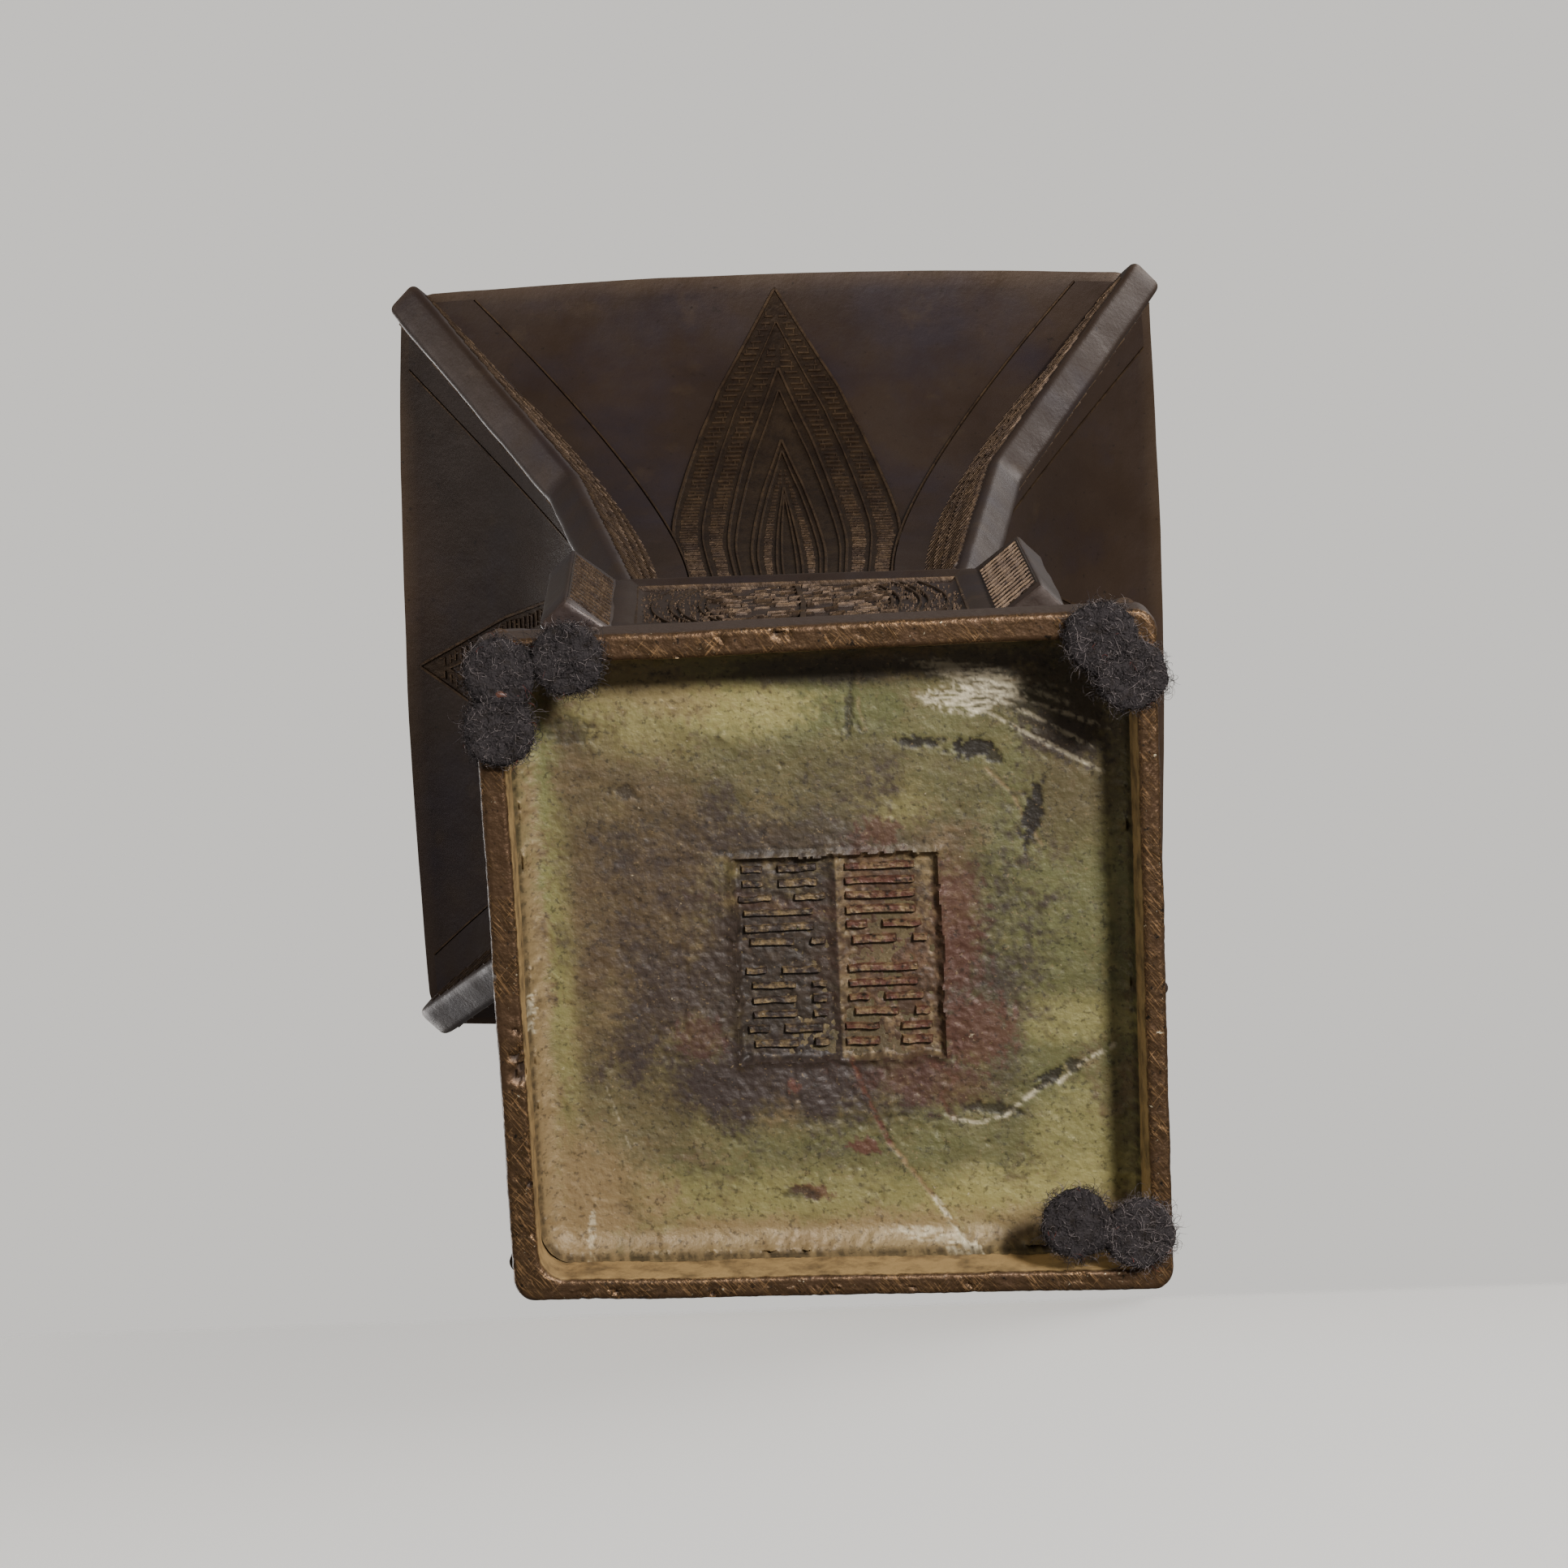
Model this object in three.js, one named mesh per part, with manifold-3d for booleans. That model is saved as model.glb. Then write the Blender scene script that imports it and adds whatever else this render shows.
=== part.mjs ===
// A square bronze beaker vase (fanggu) with corner flanges, standing on seven felt pads.
// Millimetres, +Z up. The origin is on the vase's axis at the underside of the pads.
// The four faces look along -Y (front), +X (right), +Y (back) and -X (left).
import * as THREE from "three";
import { mergeVertices } from "three/addons/utils/BufferGeometryUtils.js";
import Module from "manifold-3d";

const wasm = await Module();
wasm.setup();

// Heights, measured up from the underside of the foot rim
const bronze_height = 276;
const rim_band_height = 8;
const foot_height = 74;
const knop_bottom = 81;
const knop_top = 138;

// Half widths of the cast body across its flat faces
const foot_half = 47.5;
const foot_band_step = 2.5;
const foot_flare_half = foot_half - foot_band_step;
const waist_half = 29.5;
const knop_half = 36;
const neck_half = 27.6;
const lip_half = 72.3;
const wall = 3;
const knop_wall = 5;
const corner_radius = 3;
const knop_edge_radius = 2;

// Pull of the foot's and the neck's curves: how far the inner points stand in or out of the curve's
// ends, and at what share of its height
const foot_pull_in = 9;
const foot_pull_low = 0.2;
const foot_pull_out = 1.5;
const foot_pull_high = 0.6;
const neck_pull_in = 1.1;
const neck_pull_low = 0.543;
const neck_pull_out = 6.4;
const neck_pull_high = 0.826;

// Base: recess under the foot, the plate above it and its sunk mark
const rim_width = 3.4;
const recess_depth = 11;
const recess_draft = 0.5;
const recess_fillet = 4;
const recess_corner_radius = 4;
const recess_shift_x = 0.35;
const recess_shift_y = 0.4;
const plate_thickness = 3;
const mark_size = 29.3;
const mark_depth = 0.8;
const mark_center_x = 1.4;
const mark_center_y = 1.1;
const stroke_width = 0.9;
const stroke_height = 0.5;
const stroke_margin = 1;
const stroke_rows = 6;
const stroke_lengths = [[0.7], [0.28, 0.28], [0.45], [0.3, 0.2], [0.6], [0.2, 0.32]];

// Corner flanges: the width of the outer face, and how far its middle stands from the axis
const flange_face = 7.2;
const flange_edge = 0.8;
const foot_flange_reach = 1.2;
const foot_flange_low = foot_flare_half + foot_flange_reach;
const foot_flange_high = 35.5;
const foot_flange_top = 72;
const knop_flange_out = 39.2;
const knop_flange_face = 5.8;
const knop_flange_base = 6;
const knop_flange_sunk = 1.6;
const neck_flange_low = 28.9;
const neck_flange_kink = 41.5;
const neck_flange_kink_height = 0.6014;
const neck_flange_reach = 1.4;
const neck_flange_tip = lip_half + neck_flange_reach;

// Raised strip beside each neck flange
const strip_width_low = 9.5;
const strip_width_high = 12;
const strip_height = 0.5;

// Upright leaf on each neck face
const leaf_tip_drop = 2.5;
const leaf_wide_height = 0.558;
const leaf_half = 20;
const leaf_foot_half = 15;
const leaf_height = 0.5;
const leaf_ridge = 1.3;
const leaf_ridge_height = 1.1;
const leaf_levels = 3;
const leaf_step_width = 5;
const leaf_step_drop = 15;
const leaf_tip_half = 0.15;
const leaf_tip_gap = 3.4;
const leaf_roundness = 0.82;
const leaf_sunk = 0.5;

// Sunk panel with a low mask on each knop face. The mask's lines are [x, share of its reach up or
// down from the middle], on the right half.
const panel_half = 28.2;
const panel_margin = 4;
const panel_depth = 1.4;
const panel_slope = 2;
const mask_height = 0.8;
const mask_ridge = 1.2;
const mask_margin = 1.5;
const mask_arcs = [15.5, 21];
const mask_arc_bow = 4;
const mask_brow = [[2.5, 0.75], [7, 0.95], [11, 0.6], [8, 0.45]];
const mask_jaw = [[2.5, -0.45], [7, -0.35], [10, -0.7]];
const mask_eye_x = 7.5;
const mask_eye_top = 2.2;
const mask_eye_base = 2.8;

// Sunk panel on each foot face
const foot_panel_low = 16;
const foot_panel_high = 62;
const foot_panel_margin = 9;
const foot_panel_depth = 0.8;

// Felt pads glued under the rim at three corners
const pad_thickness = 2.8;
const pad_radius = 5;
const pad_gap = 0.3;

// The foot isn't a true square: how far each rim corner lies off it, as [x, y]
const skew_front_left = [-0.7, -0.3];
const skew_front_right = [0.1, -2.0];
const skew_back_right = [1.2, 1.9];
const skew_back_left = [1.9, 0.4];
const skew_fade_z = 70;

// How far a raised or sunk solid runs into or past the face it is joined to or cut from
const overlap = 1;

// Least height between two rings of the foot's or the neck's facets
const ring_clearance = 1;

const rim_z = pad_thickness + pad_gap;
const faces = [0, 1, 2, 3];
const corners = faces;

// A closed solid through a stack of rings that have the same number of points, capped at both ends
function loft(rings) {
  const count = rings[0].length;
  const positions = rings.flat(2);
  const indices = [];
  for (let level = 0; level + 1 < rings.length; level++) {
    for (let i = 0; i < count; i++) {
      const a = level * count + i;
      const b = level * count + (i + 1) % count;
      indices.push(a, b, b + count, a, b + count, a + count);
    }
  }
  for (const [level, flip] of [[0, true], [rings.length - 1, false]]) {
    const center = positions.length / 3;
    const ring = rings[level];
    for (let axis = 0; axis < 3; axis++) {
      positions.push(ring.reduce((sum, point) => sum + point[axis], 0) / count);
    }
    for (let i = 0; i < count; i++) {
      const a = level * count + i;
      const b = level * count + (i + 1) % count;
      indices.push(...(flip ? [center, b, a] : [center, a, b]));
    }
  }
  const geometry = new THREE.BufferGeometry();
  geometry.setAttribute("position", new THREE.Float32BufferAttribute(positions, 3));
  geometry.setIndex(indices);
  return geometry;
}

// Six times the volume inside a closed mesh, negative when its faces point inwards
function signedVolume(points, triangles) {
  const [a, b, c] = [new THREE.Vector3(), new THREE.Vector3(), new THREE.Vector3()];
  let sum = 0;
  for (let i = 0; i < triangles.length; i += 3) {
    a.fromArray(points, 3 * triangles[i]);
    b.fromArray(points, 3 * triangles[i + 1]);
    c.fromArray(points, 3 * triangles[i + 2]);
    sum += a.dot(b.cross(c));
  }
  return sum;
}

function solidOf(geometry) {
  const bare = geometry.clone();
  bare.deleteAttribute("normal");
  bare.deleteAttribute("uv");
  const merged = mergeVertices(bare, 1e-4);
  const vertProperties = new Float32Array(merged.attributes.position.array);
  const triVerts = new Uint32Array(merged.index.array);
  if (signedVolume(vertProperties, triVerts) < 0) {
    triVerts.reverse();
  }
  return new wasm.Manifold(new wasm.Mesh({ numProp: 3, vertProperties, triVerts }));
}

function geometryOf(solid) {
  const mesh = solid.getMesh();
  const positions = [];
  for (let i = 0; i < mesh.numVert; i++) {
    const at = i * mesh.numProp;
    positions.push(mesh.vertProperties[at], mesh.vertProperties[at + 1], mesh.vertProperties[at + 2]);
  }
  const geometry = new THREE.BufferGeometry();
  geometry.setAttribute("position", new THREE.Float32BufferAttribute(positions, 3));
  geometry.setIndex(Array.from(mesh.triVerts));
  return geometry;
}

function join(solids) {
  return solids.reduce((sum, solid) => sum.add(solid));
}

function turned(geometry, quarter) {
  return geometry.clone().rotateZ(quarter * Math.PI / 2);
}

// A square ring with rounded corners at one height
function squareRing(half, z, radius = corner_radius, steps = 2) {
  const points = [];
  for (const corner of corners) {
    const middle = Math.PI / 4 + corner * Math.PI / 2;
    const center = half - radius;
    const cx = Math.sign(Math.cos(middle)) * center;
    const cy = Math.sign(Math.sin(middle)) * center;
    for (let i = 0; i <= steps; i++) {
      const angle = middle - Math.PI / 4 + i / steps * Math.PI / 2;
      points.push([cx + radius * Math.cos(angle), cy + radius * Math.sin(angle), z]);
    }
  }
  return points;
}

// Half width of the foot and of the neck at points along their curves, as [half, z]
const foot_curve = new THREE.CubicBezierCurve(
  new THREE.Vector2(foot_flare_half, rim_band_height),
  new THREE.Vector2(foot_flare_half - foot_pull_in, rim_band_height + foot_pull_low * foot_height),
  new THREE.Vector2(waist_half + foot_pull_out, foot_pull_high * foot_height),
  new THREE.Vector2(waist_half, foot_height),
);
const neck_span = bronze_height - knop_top;
const neck_flange_kink_z = knop_top + neck_flange_kink_height * neck_span;
const leaf_tip_z = bronze_height - leaf_tip_drop;
const leaf_wide_z = knop_top + leaf_wide_height * neck_span;
const neck_curve = new THREE.CubicBezierCurve(
  new THREE.Vector2(neck_half, knop_top),
  new THREE.Vector2(neck_half - neck_pull_in, knop_top + neck_pull_low * neck_span),
  new THREE.Vector2(neck_half + neck_pull_out, knop_top + neck_pull_high * neck_span),
  new THREE.Vector2(lip_half, bronze_height),
);

function halfAt(curve, z) {
  let low = 0;
  let high = 1;
  for (let i = 0; i < 40; i++) {
    const middle = (low + high) / 2;
    if (curve.getPoint(middle).y < z) {
      low = middle;
    } else {
      high = middle;
    }
  }
  return curve.getPoint(low).x;
}

const curve_steps = 10;
const foot_rings = foot_curve.getPoints(5).map((p) => [p.x, p.y]);
const neck_rings = neck_curve.getPoints(curve_steps).map((p) => [p.x, p.y]);

// Half width of the faceted neck at a height
function neckHalf(z) {
  const above = Math.max(1, neck_rings.findIndex(([, ring_z]) => ring_z >= z));
  const [low_half, low_z] = neck_rings[above - 1];
  const [high_half, high_z] = neck_rings[above];
  return low_half + (z - low_z) / (high_z - low_z) * (high_half - low_half);
}

// The heights at which the neck's facets meet, between two heights and with both of them
function neckLevels(low, high) {
  const inside = (z) => z > low + ring_clearance && z < high - ring_clearance;
  const between = neck_rings.map(([, z]) => z).filter(inside);
  return [low, ...between, high];
}

// Outer form of foot, knop and neck
function outerBody() {
  const profile = [
    [foot_half, 0],
    [foot_half, rim_band_height],
    ...foot_rings,
    [waist_half, knop_bottom],
    [knop_half - knop_edge_radius, knop_bottom],
    [knop_half, knop_bottom + knop_edge_radius],
    [knop_half, knop_top - knop_edge_radius],
    [knop_half - knop_edge_radius, knop_top],
    ...neck_rings,
  ];
  return loft(profile.map(([half, z]) => squareRing(half, z)));
}

// The hollow: it follows the outer form one wall inside it, from the base plate out through the mouth
function hollow() {
  const floor = recess_depth + plate_thickness;
  const inside = foot_rings.filter(([, z]) => z > floor + ring_clearance).map(([half, z]) => [half - wall, z]);
  const neck_inside = neck_rings.map(([half, z]) => [half - wall, z]);
  const profile = [
    [halfAt(foot_curve, floor) - wall, floor],
    ...inside,
    [waist_half - wall, knop_bottom + 0.5 * wall],
    [knop_half - knop_wall, knop_bottom + wall + knop_edge_radius],
    [knop_half - knop_wall, knop_top - wall - knop_edge_radius],
    [neck_half - wall, knop_top - 0.5 * wall],
    ...neck_inside.slice(1),
    [lip_half - wall, bronze_height + wall],
  ];
  return loft(profile.map(([half, z]) => squareRing(half, z)));
}

// The recess under the foot, its wall running into the plate in a fillet
function recess() {
  const half = foot_half - rim_width;
  const top_half = half - recess_draft;
  const profile = [[half, -overlap], [half, 0], [top_half, recess_depth - recess_fillet]];
  const steps = 3;
  for (let i = 1; i <= steps; i++) {
    const angle = i / steps * Math.PI / 2;
    const in_by = recess_fillet * (1 - Math.cos(angle));
    const up_by = recess_fillet * Math.sin(angle);
    profile.push([top_half - in_by, recess_depth - recess_fillet + up_by]);
  }
  const rings = profile.map(([width, z]) => squareRing(width, z, recess_corner_radius));
  return loft(rings).translate(recess_shift_x, recess_shift_y, 0);
}

// A corner flange: at each level its outer face stands square to the diagonal with its middle
// at [out, out], and its sides run back to a root as wide as 2 * root_half, around [root, root]
function flange(levels) {
  const rings = levels.map(({ out, face, root, root_half, z }) => {
    const half = face / 2 / Math.SQRT2;
    const edge = flange_edge / Math.SQRT2;
    return [
      [root - root_half, root + root_half, z],
      [root + root_half, root - root_half, z],
      [out - edge + half, out - edge - half, z],
      [out + half - edge, out - half + edge, z],
      [out - half + edge, out + half - edge, z],
      [out - edge - half, out - edge + half, z],
    ];
  });
  return loft(rings);
}

function footFlange() {
  const root_half = flange_face / 2 / Math.SQRT2;
  const at = (out, root, z) => ({ out, face: flange_face, root, root_half, z });
  return flange([
    at(foot_flange_low, waist_half, rim_band_height - 1),
    at(foot_flange_high, waist_half - wall, foot_flange_top),
  ]);
}

function knopFlange() {
  const face_half = knop_flange_face / 2 / Math.SQRT2;
  const base = knop_half - knop_flange_base / 2;
  const root = knop_flange_out + knop_flange_sunk * (base - knop_flange_out);
  const root_half = face_half + knop_flange_sunk * (knop_flange_base / 2 - face_half);
  const at = (z) => ({ out: knop_flange_out, face: knop_flange_face, root, root_half, z });
  return flange([at(knop_bottom), at(knop_top - knop_edge_radius)]);
}

function neckFlange() {
  const root_half = flange_face / 2 / Math.SQRT2;
  const stretch = (low_z, low_out, high_z, high_out) => neckLevels(low_z, high_z).map((z) => {
    const out = low_out + (z - low_z) / (high_z - low_z) * (high_out - low_out);
    return { out, face: flange_face, root: neckHalf(z) - wall - root_half, root_half, z };
  });
  const below = stretch(knop_top - leaf_sunk, neck_flange_low, neck_flange_kink_z, neck_flange_kink);
  const above = stretch(neck_flange_kink_z, neck_flange_kink, bronze_height, neck_flange_tip);
  return flange([...below, ...above.slice(1)]);
}

// A thin skin on the front face of the neck between two widths, following the neck's curve
function skin(levels) {
  const rings = levels.map(({ left, right, z, height }) => {
    const half = neckHalf(z);
    const y_out = -(half + height);
    const y_in = -(half - wall / 2);
    return [[left, y_out, z], [right, y_out, z], [right, y_in, z], [left, y_in, z]];
  });
  return loft(rings);
}

// The raised strips on both sides of the front face of the neck
function strips() {
  const sides = [-1, 1].map((side) => skin(neckLevels(knop_top - leaf_sunk, bronze_height).map((z) => {
    const share = Math.max(0, (z - knop_top) / neck_span);
    const outer = side * (neckHalf(z) - corner_radius);
    const inner = side * (neckHalf(z) - strip_width_low - share * (strip_width_high - strip_width_low));
    return { left: Math.min(outer, inner), right: Math.max(outer, inner), z, height: strip_height };
  })));
  return join(sides.map(solidOf));
}

// Half width of the leaf's outline at a height, for a leaf that is smaller by inset all round
function leafHalf(z, inset, tip) {
  if (z >= leaf_wide_z) {
    const share = (tip - z) / (tip - leaf_wide_z);
    return Math.max(leaf_tip_half, (leaf_half - inset) * Math.pow(Math.max(share, 0), leaf_roundness));
  }
  const share = (leaf_wide_z - z) / (leaf_wide_z - knop_top);
  return leaf_half - inset - share * share * (leaf_half - leaf_foot_half);
}

function leafPlate(inset, tip, height) {
  return solidOf(skin(neckLevels(knop_top - leaf_sunk, tip).map((z) => {
    const half = leafHalf(Math.max(z, knop_top), inset, tip);
    return { left: -half, right: half, z, height };
  })));
}

// One leaf inside another, each edged by a ridge
function leaf() {
  let carved = leafPlate(0, leaf_tip_z, leaf_height);
  for (let level = 0; level < leaf_levels; level++) {
    const inset = level * leaf_step_width;
    const tip = leaf_tip_z - level * leaf_step_drop;
    const ridge = leafPlate(inset, tip, leaf_ridge_height);
    const inside = leafPlate(inset + leaf_ridge, tip - leaf_tip_gap, leaf_ridge_height + overlap);
    carved = carved.add(ridge.subtract(inside));
  }
  return carved;
}

// A sunk field with sloping sides, cut into a front face that stands at y = -half_at(z)
function sunkField(low, high, half_low, half_high, face_low, face_high, depth, slope) {
  const ring = (by, inset) => [
    [-half_low + inset, -face_low + by, low + inset],
    [half_low - inset, -face_low + by, low + inset],
    [half_high - inset, -face_high + by, high - inset],
    [-half_high + inset, -face_high + by, high - inset],
  ];
  return solidOf(loft([ring(depth, slope), ring(0, 0), ring(-overlap, 0)]));
}

function knopPanel() {
  return sunkField(
    knop_bottom + panel_margin + knop_edge_radius,
    knop_top - panel_margin,
    panel_half,
    panel_half,
    knop_half,
    knop_half,
    panel_depth,
    panel_slope,
  );
}

// A ridge of even width along a curve on the knop's front panel, given in [x, z]
function panelRidge(points, width) {
  const path = new THREE.CatmullRomCurve3(points.map(([x, z]) => new THREE.Vector3(x, z, 0)));
  const steps = 2 * (points.length - 1);
  const left = [];
  const right = [];
  for (let i = 0; i <= steps; i++) {
    const point = path.getPoint(i / steps);
    const along = path.getTangent(i / steps);
    left.push(new THREE.Vector2(point.x - along.y * width / 2, point.y + along.x * width / 2));
    right.unshift(new THREE.Vector2(point.x + along.y * width / 2, point.y - along.x * width / 2));
  }
  const shape = new THREE.Shape([...left, ...right]);
  const floor = knop_half - panel_depth;
  const geometry = new THREE.ExtrudeGeometry(shape, { depth: mask_height + overlap, bevelEnabled: false });
  return solidOf(geometry.rotateX(Math.PI / 2).translate(0, overlap - floor, 0));
}

// The mask: a nose ridge, two eyes, and two pairs of arcs that close it at the sides
function mask() {
  const middle = (knop_bottom + knop_top + knop_edge_radius) / 2;
  const reach = (knop_top - knop_bottom) / 2 - panel_margin - panel_slope - mask_margin;
  const floor = knop_half - panel_depth;
  const lines = mask_arcs.map((out) => [[out - mask_arc_bow, -1], [out, 0], [out - mask_arc_bow, 1]]);
  lines.push(mask_brow, mask_jaw);
  const pieces = [panelRidge([[0, middle - reach], [0, middle], [0, middle + reach]], 2 * mask_ridge)];
  for (const side of [-1, 1]) {
    for (const line of lines) {
      pieces.push(panelRidge(line.map(([x, share]) => [side * x, middle + share * reach]), mask_ridge));
    }
    const depth = mask_height + overlap;
    const eye = new THREE.CylinderGeometry(mask_eye_top, mask_eye_base, depth, 12);
    pieces.push(solidOf(eye.translate(side * mask_eye_x, overlap - floor - depth / 2, middle)));
  }
  return join(pieces);
}

function footPanel() {
  const low_half = halfAt(foot_curve, foot_panel_low);
  const high_half = halfAt(foot_curve, foot_panel_high);
  const steps = 3;
  const rings = [];
  for (let i = 0; i <= steps; i++) {
    const z = foot_panel_low + i / steps * (foot_panel_high - foot_panel_low);
    const half = halfAt(foot_curve, z);
    const width = low_half - foot_panel_margin + i / steps * (high_half - low_half);
    const y_in = -(half - foot_panel_depth);
    const y_out = -(half + overlap);
    rings.push([[-width, y_out, z], [width, y_out, z], [width, y_in, z], [-width, y_in, z]]);
  }
  return solidOf(loft(rings));
}

// The sunk square in the base plate, with rows of short raised strokes
function markField() {
  const depth = mark_depth + overlap;
  const field = new THREE.BoxGeometry(mark_size, mark_size, depth);
  const top = recess_depth + mark_depth;
  return solidOf(field.translate(mark_center_x, mark_center_y, top - depth / 2));
}

function markStrokes() {
  const cell = mark_size / 2;
  const field = cell - 2 * stroke_margin;
  const pitch = field / stroke_rows;
  const top = recess_depth + mark_depth;
  const depth = stroke_height + overlap;
  const strokes = [];
  for (const column of [0, 1]) {
    for (let row = 0; row < 2 * stroke_rows; row++) {
      const block = Math.floor(row / stroke_rows);
      const parts = stroke_lengths[(row + 2 * column + 3 * block) % stroke_lengths.length];
      const low_y = mark_center_y - cell + block * cell + stroke_margin;
      const y = low_y + (row % stroke_rows + 0.5) * pitch;
      parts.forEach((share, index) => {
        const length = share * field;
        const start = index === 0 ? stroke_margin : cell - stroke_margin - length;
        const x = mark_center_x - cell + column * cell + start + length / 2;
        const stroke = new THREE.BoxGeometry(length, stroke_width, depth);
        strokes.push(solidOf(stroke.translate(x, y, top + overlap - depth / 2)));
      });
    }
  }
  return join(strokes);
}

// Moves a point off the true square as the foot's corners lie, fading out upwards
function skewed(x, y, z) {
  const fade = Math.max(0, 1 - z / skew_fade_z);
  const u = (x / foot_half + 1) / 2;
  const v = (y / foot_half + 1) / 2;
  const mix = (axis) => (1 - u) * (1 - v) * skew_front_left[axis] + u * (1 - v) * skew_front_right[axis]
    + u * v * skew_back_right[axis] + (1 - u) * v * skew_back_left[axis];
  return [x + fade * mix(0), y + fade * mix(1), z];
}

function vaseGeometry() {
  const flanges = [footFlange(), knopFlange(), neckFlange()];
  const corner_solids = corners.flatMap((corner) => flanges.map((one) => solidOf(turned(one, corner))));
  const leaf_geometry = geometryOf(leaf());
  const strip_geometry = geometryOf(strips());
  const raised = faces.flatMap((face) => [
    solidOf(turned(leaf_geometry, face)),
    solidOf(turned(strip_geometry, face)),
  ]);
  const sunk_geometry = geometryOf(join([knopPanel(), footPanel()]));
  const sunk = faces.map((face) => solidOf(turned(sunk_geometry, face)));
  const mask_geometry = geometryOf(mask());
  const masks = faces.map((face) => solidOf(turned(mask_geometry, face)));
  const cast = join([solidOf(outerBody()), ...corner_solids, ...raised])
    .subtract(join(sunk))
    .add(join(masks))
    .subtract(solidOf(recess()))
    .subtract(markField())
    .add(markStrokes())
    .subtract(solidOf(hollow()));
  const geometry = geometryOf(cast);
  const position = geometry.attributes.position;
  for (let i = 0; i < position.count; i++) {
    position.setXYZ(i, ...skewed(position.getX(i), position.getY(i), position.getZ(i)));
  }
  return geometry;
}

// One felt disc, cut clear of the discs that lie over its edge
function padGeometry(center, over) {
  const disc = (radius, at) => {
    const shape = new THREE.Shape().absarc(0, 0, radius, 0, 2 * Math.PI);
    const geometry = new THREE.ExtrudeGeometry(shape, {
      depth: pad_thickness,
      bevelEnabled: false,
      curveSegments: 10,
    });
    return geometry.translate(at[0], at[1], 0);
  };
  let solid = solidOf(disc(pad_radius, center));
  for (const other of over) {
    const cutter = disc(pad_radius + pad_gap, other).scale(1, 1, 2).translate(0, 0, -pad_thickness / 2);
    solid = solid.subtract(solidOf(cutter));
  }
  return geometryOf(solid);
}

// Where the pads lie under the rim: the corner they are near as the signs of [x, y], and how far in from
// the foot's two sides there
const pads = {
  felt_pad_front_left_corner: { corner: [-1, -1], inset: [3.4, 4.2] },
  felt_pad_front_left_side: { corner: [-1, -1], inset: [2.9, 12.2], under: ["felt_pad_front_left_corner"] },
  felt_pad_front_left_front: { corner: [-1, -1], inset: [12.8, 2.5], under: ["felt_pad_front_left_corner"] },
  felt_pad_front_right_front: { corner: [1, -1], inset: [7.9, 1.9], under: ["felt_pad_front_right_corner"] },
  felt_pad_front_right_corner: { corner: [1, -1], inset: [3.7, 7.1] },
  felt_pad_back_right_back: { corner: [1, 1], inset: [12.7, 8.9] },
  felt_pad_back_right_corner: { corner: [1, 1], inset: [3.8, 7.2], under: ["felt_pad_back_right_back"] },
};

function padCenter(pad) {
  return pad.inset.map((inset, axis) => pad.corner[axis] * (foot_half - inset));
}

const bronze = new THREE.MeshStandardMaterial({ color: 0x5a4a38, metalness: 0.9, roughness: 0.5 });
const felt = new THREE.MeshStandardMaterial({ color: 0x2c2b2e, metalness: 0, roughness: 1 });

const group = new THREE.Group();

const vase = new THREE.Mesh(vaseGeometry(), bronze.clone());
vase.name = "vase_body";
vase.position.z = rim_z;
group.add(vase);

for (const [name, pad] of Object.entries(pads)) {
  const over = (pad.under ?? []).map((other) => padCenter(pads[other]));
  const mesh = new THREE.Mesh(padGeometry(padCenter(pad), over), felt.clone());
  mesh.name = name;
  group.add(mesh);
}

export default group;
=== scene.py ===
"""A square bronze beaker vase (fanggu) on small felt pads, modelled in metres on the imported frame.

The vase stands upright: +Z is up, the front face looks along -Y and the right face along +X.
"""

import math
import random
from functools import partial

import bpy
import numpy as np
from mathutils import Euler, Matrix, Vector, noise


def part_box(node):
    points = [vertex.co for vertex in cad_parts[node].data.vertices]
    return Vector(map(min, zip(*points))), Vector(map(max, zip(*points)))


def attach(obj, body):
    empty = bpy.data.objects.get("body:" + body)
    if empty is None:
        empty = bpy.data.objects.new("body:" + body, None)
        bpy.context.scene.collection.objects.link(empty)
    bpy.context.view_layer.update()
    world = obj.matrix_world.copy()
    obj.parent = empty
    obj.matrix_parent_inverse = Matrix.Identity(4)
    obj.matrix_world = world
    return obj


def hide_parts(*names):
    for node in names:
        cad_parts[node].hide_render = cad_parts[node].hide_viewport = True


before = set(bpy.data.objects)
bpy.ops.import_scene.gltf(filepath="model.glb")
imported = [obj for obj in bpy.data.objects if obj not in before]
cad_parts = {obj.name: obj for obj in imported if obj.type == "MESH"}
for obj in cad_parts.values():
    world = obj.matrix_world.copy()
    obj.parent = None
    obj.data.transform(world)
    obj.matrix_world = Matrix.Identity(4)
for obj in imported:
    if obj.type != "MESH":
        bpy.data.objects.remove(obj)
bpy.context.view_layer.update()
body_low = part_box("vase_body")[0]

bl_info = {
    "name": "Bronze fanggu vase",
    "version": (1, 0, 0),
    "blender": (4, 5, 0),
    "location": "View3D > Sidebar > Vase",
    "description": "A square cast bronze beaker vase on felt pads",
    "category": "Add Mesh",
}

MM = 0.001
QUARTERS = range(4)

# How far the recess under the foot lies off the foot's middle, and the sunk mark off the recess's
RECESS_SHIFT = (0.35 * MM, 0.4 * MM)
MARK_SHIFT = (1.4 * MM, 1.1 * MM)

# Where each felt pad lies under the rim, in metres
PADS = {
    "front_left_corner": (-0.0441, -0.0433),
    "front_left_side": (-0.0446, -0.0353),
    "front_left_front": (-0.0347, -0.0450),
    "front_right_front": (0.0396, -0.0456),
    "front_right_corner": (0.0438, -0.0404),
    "back_right_back": (0.0348, 0.0386),
    "back_right_corner": (0.0437, 0.0403),
}

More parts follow.
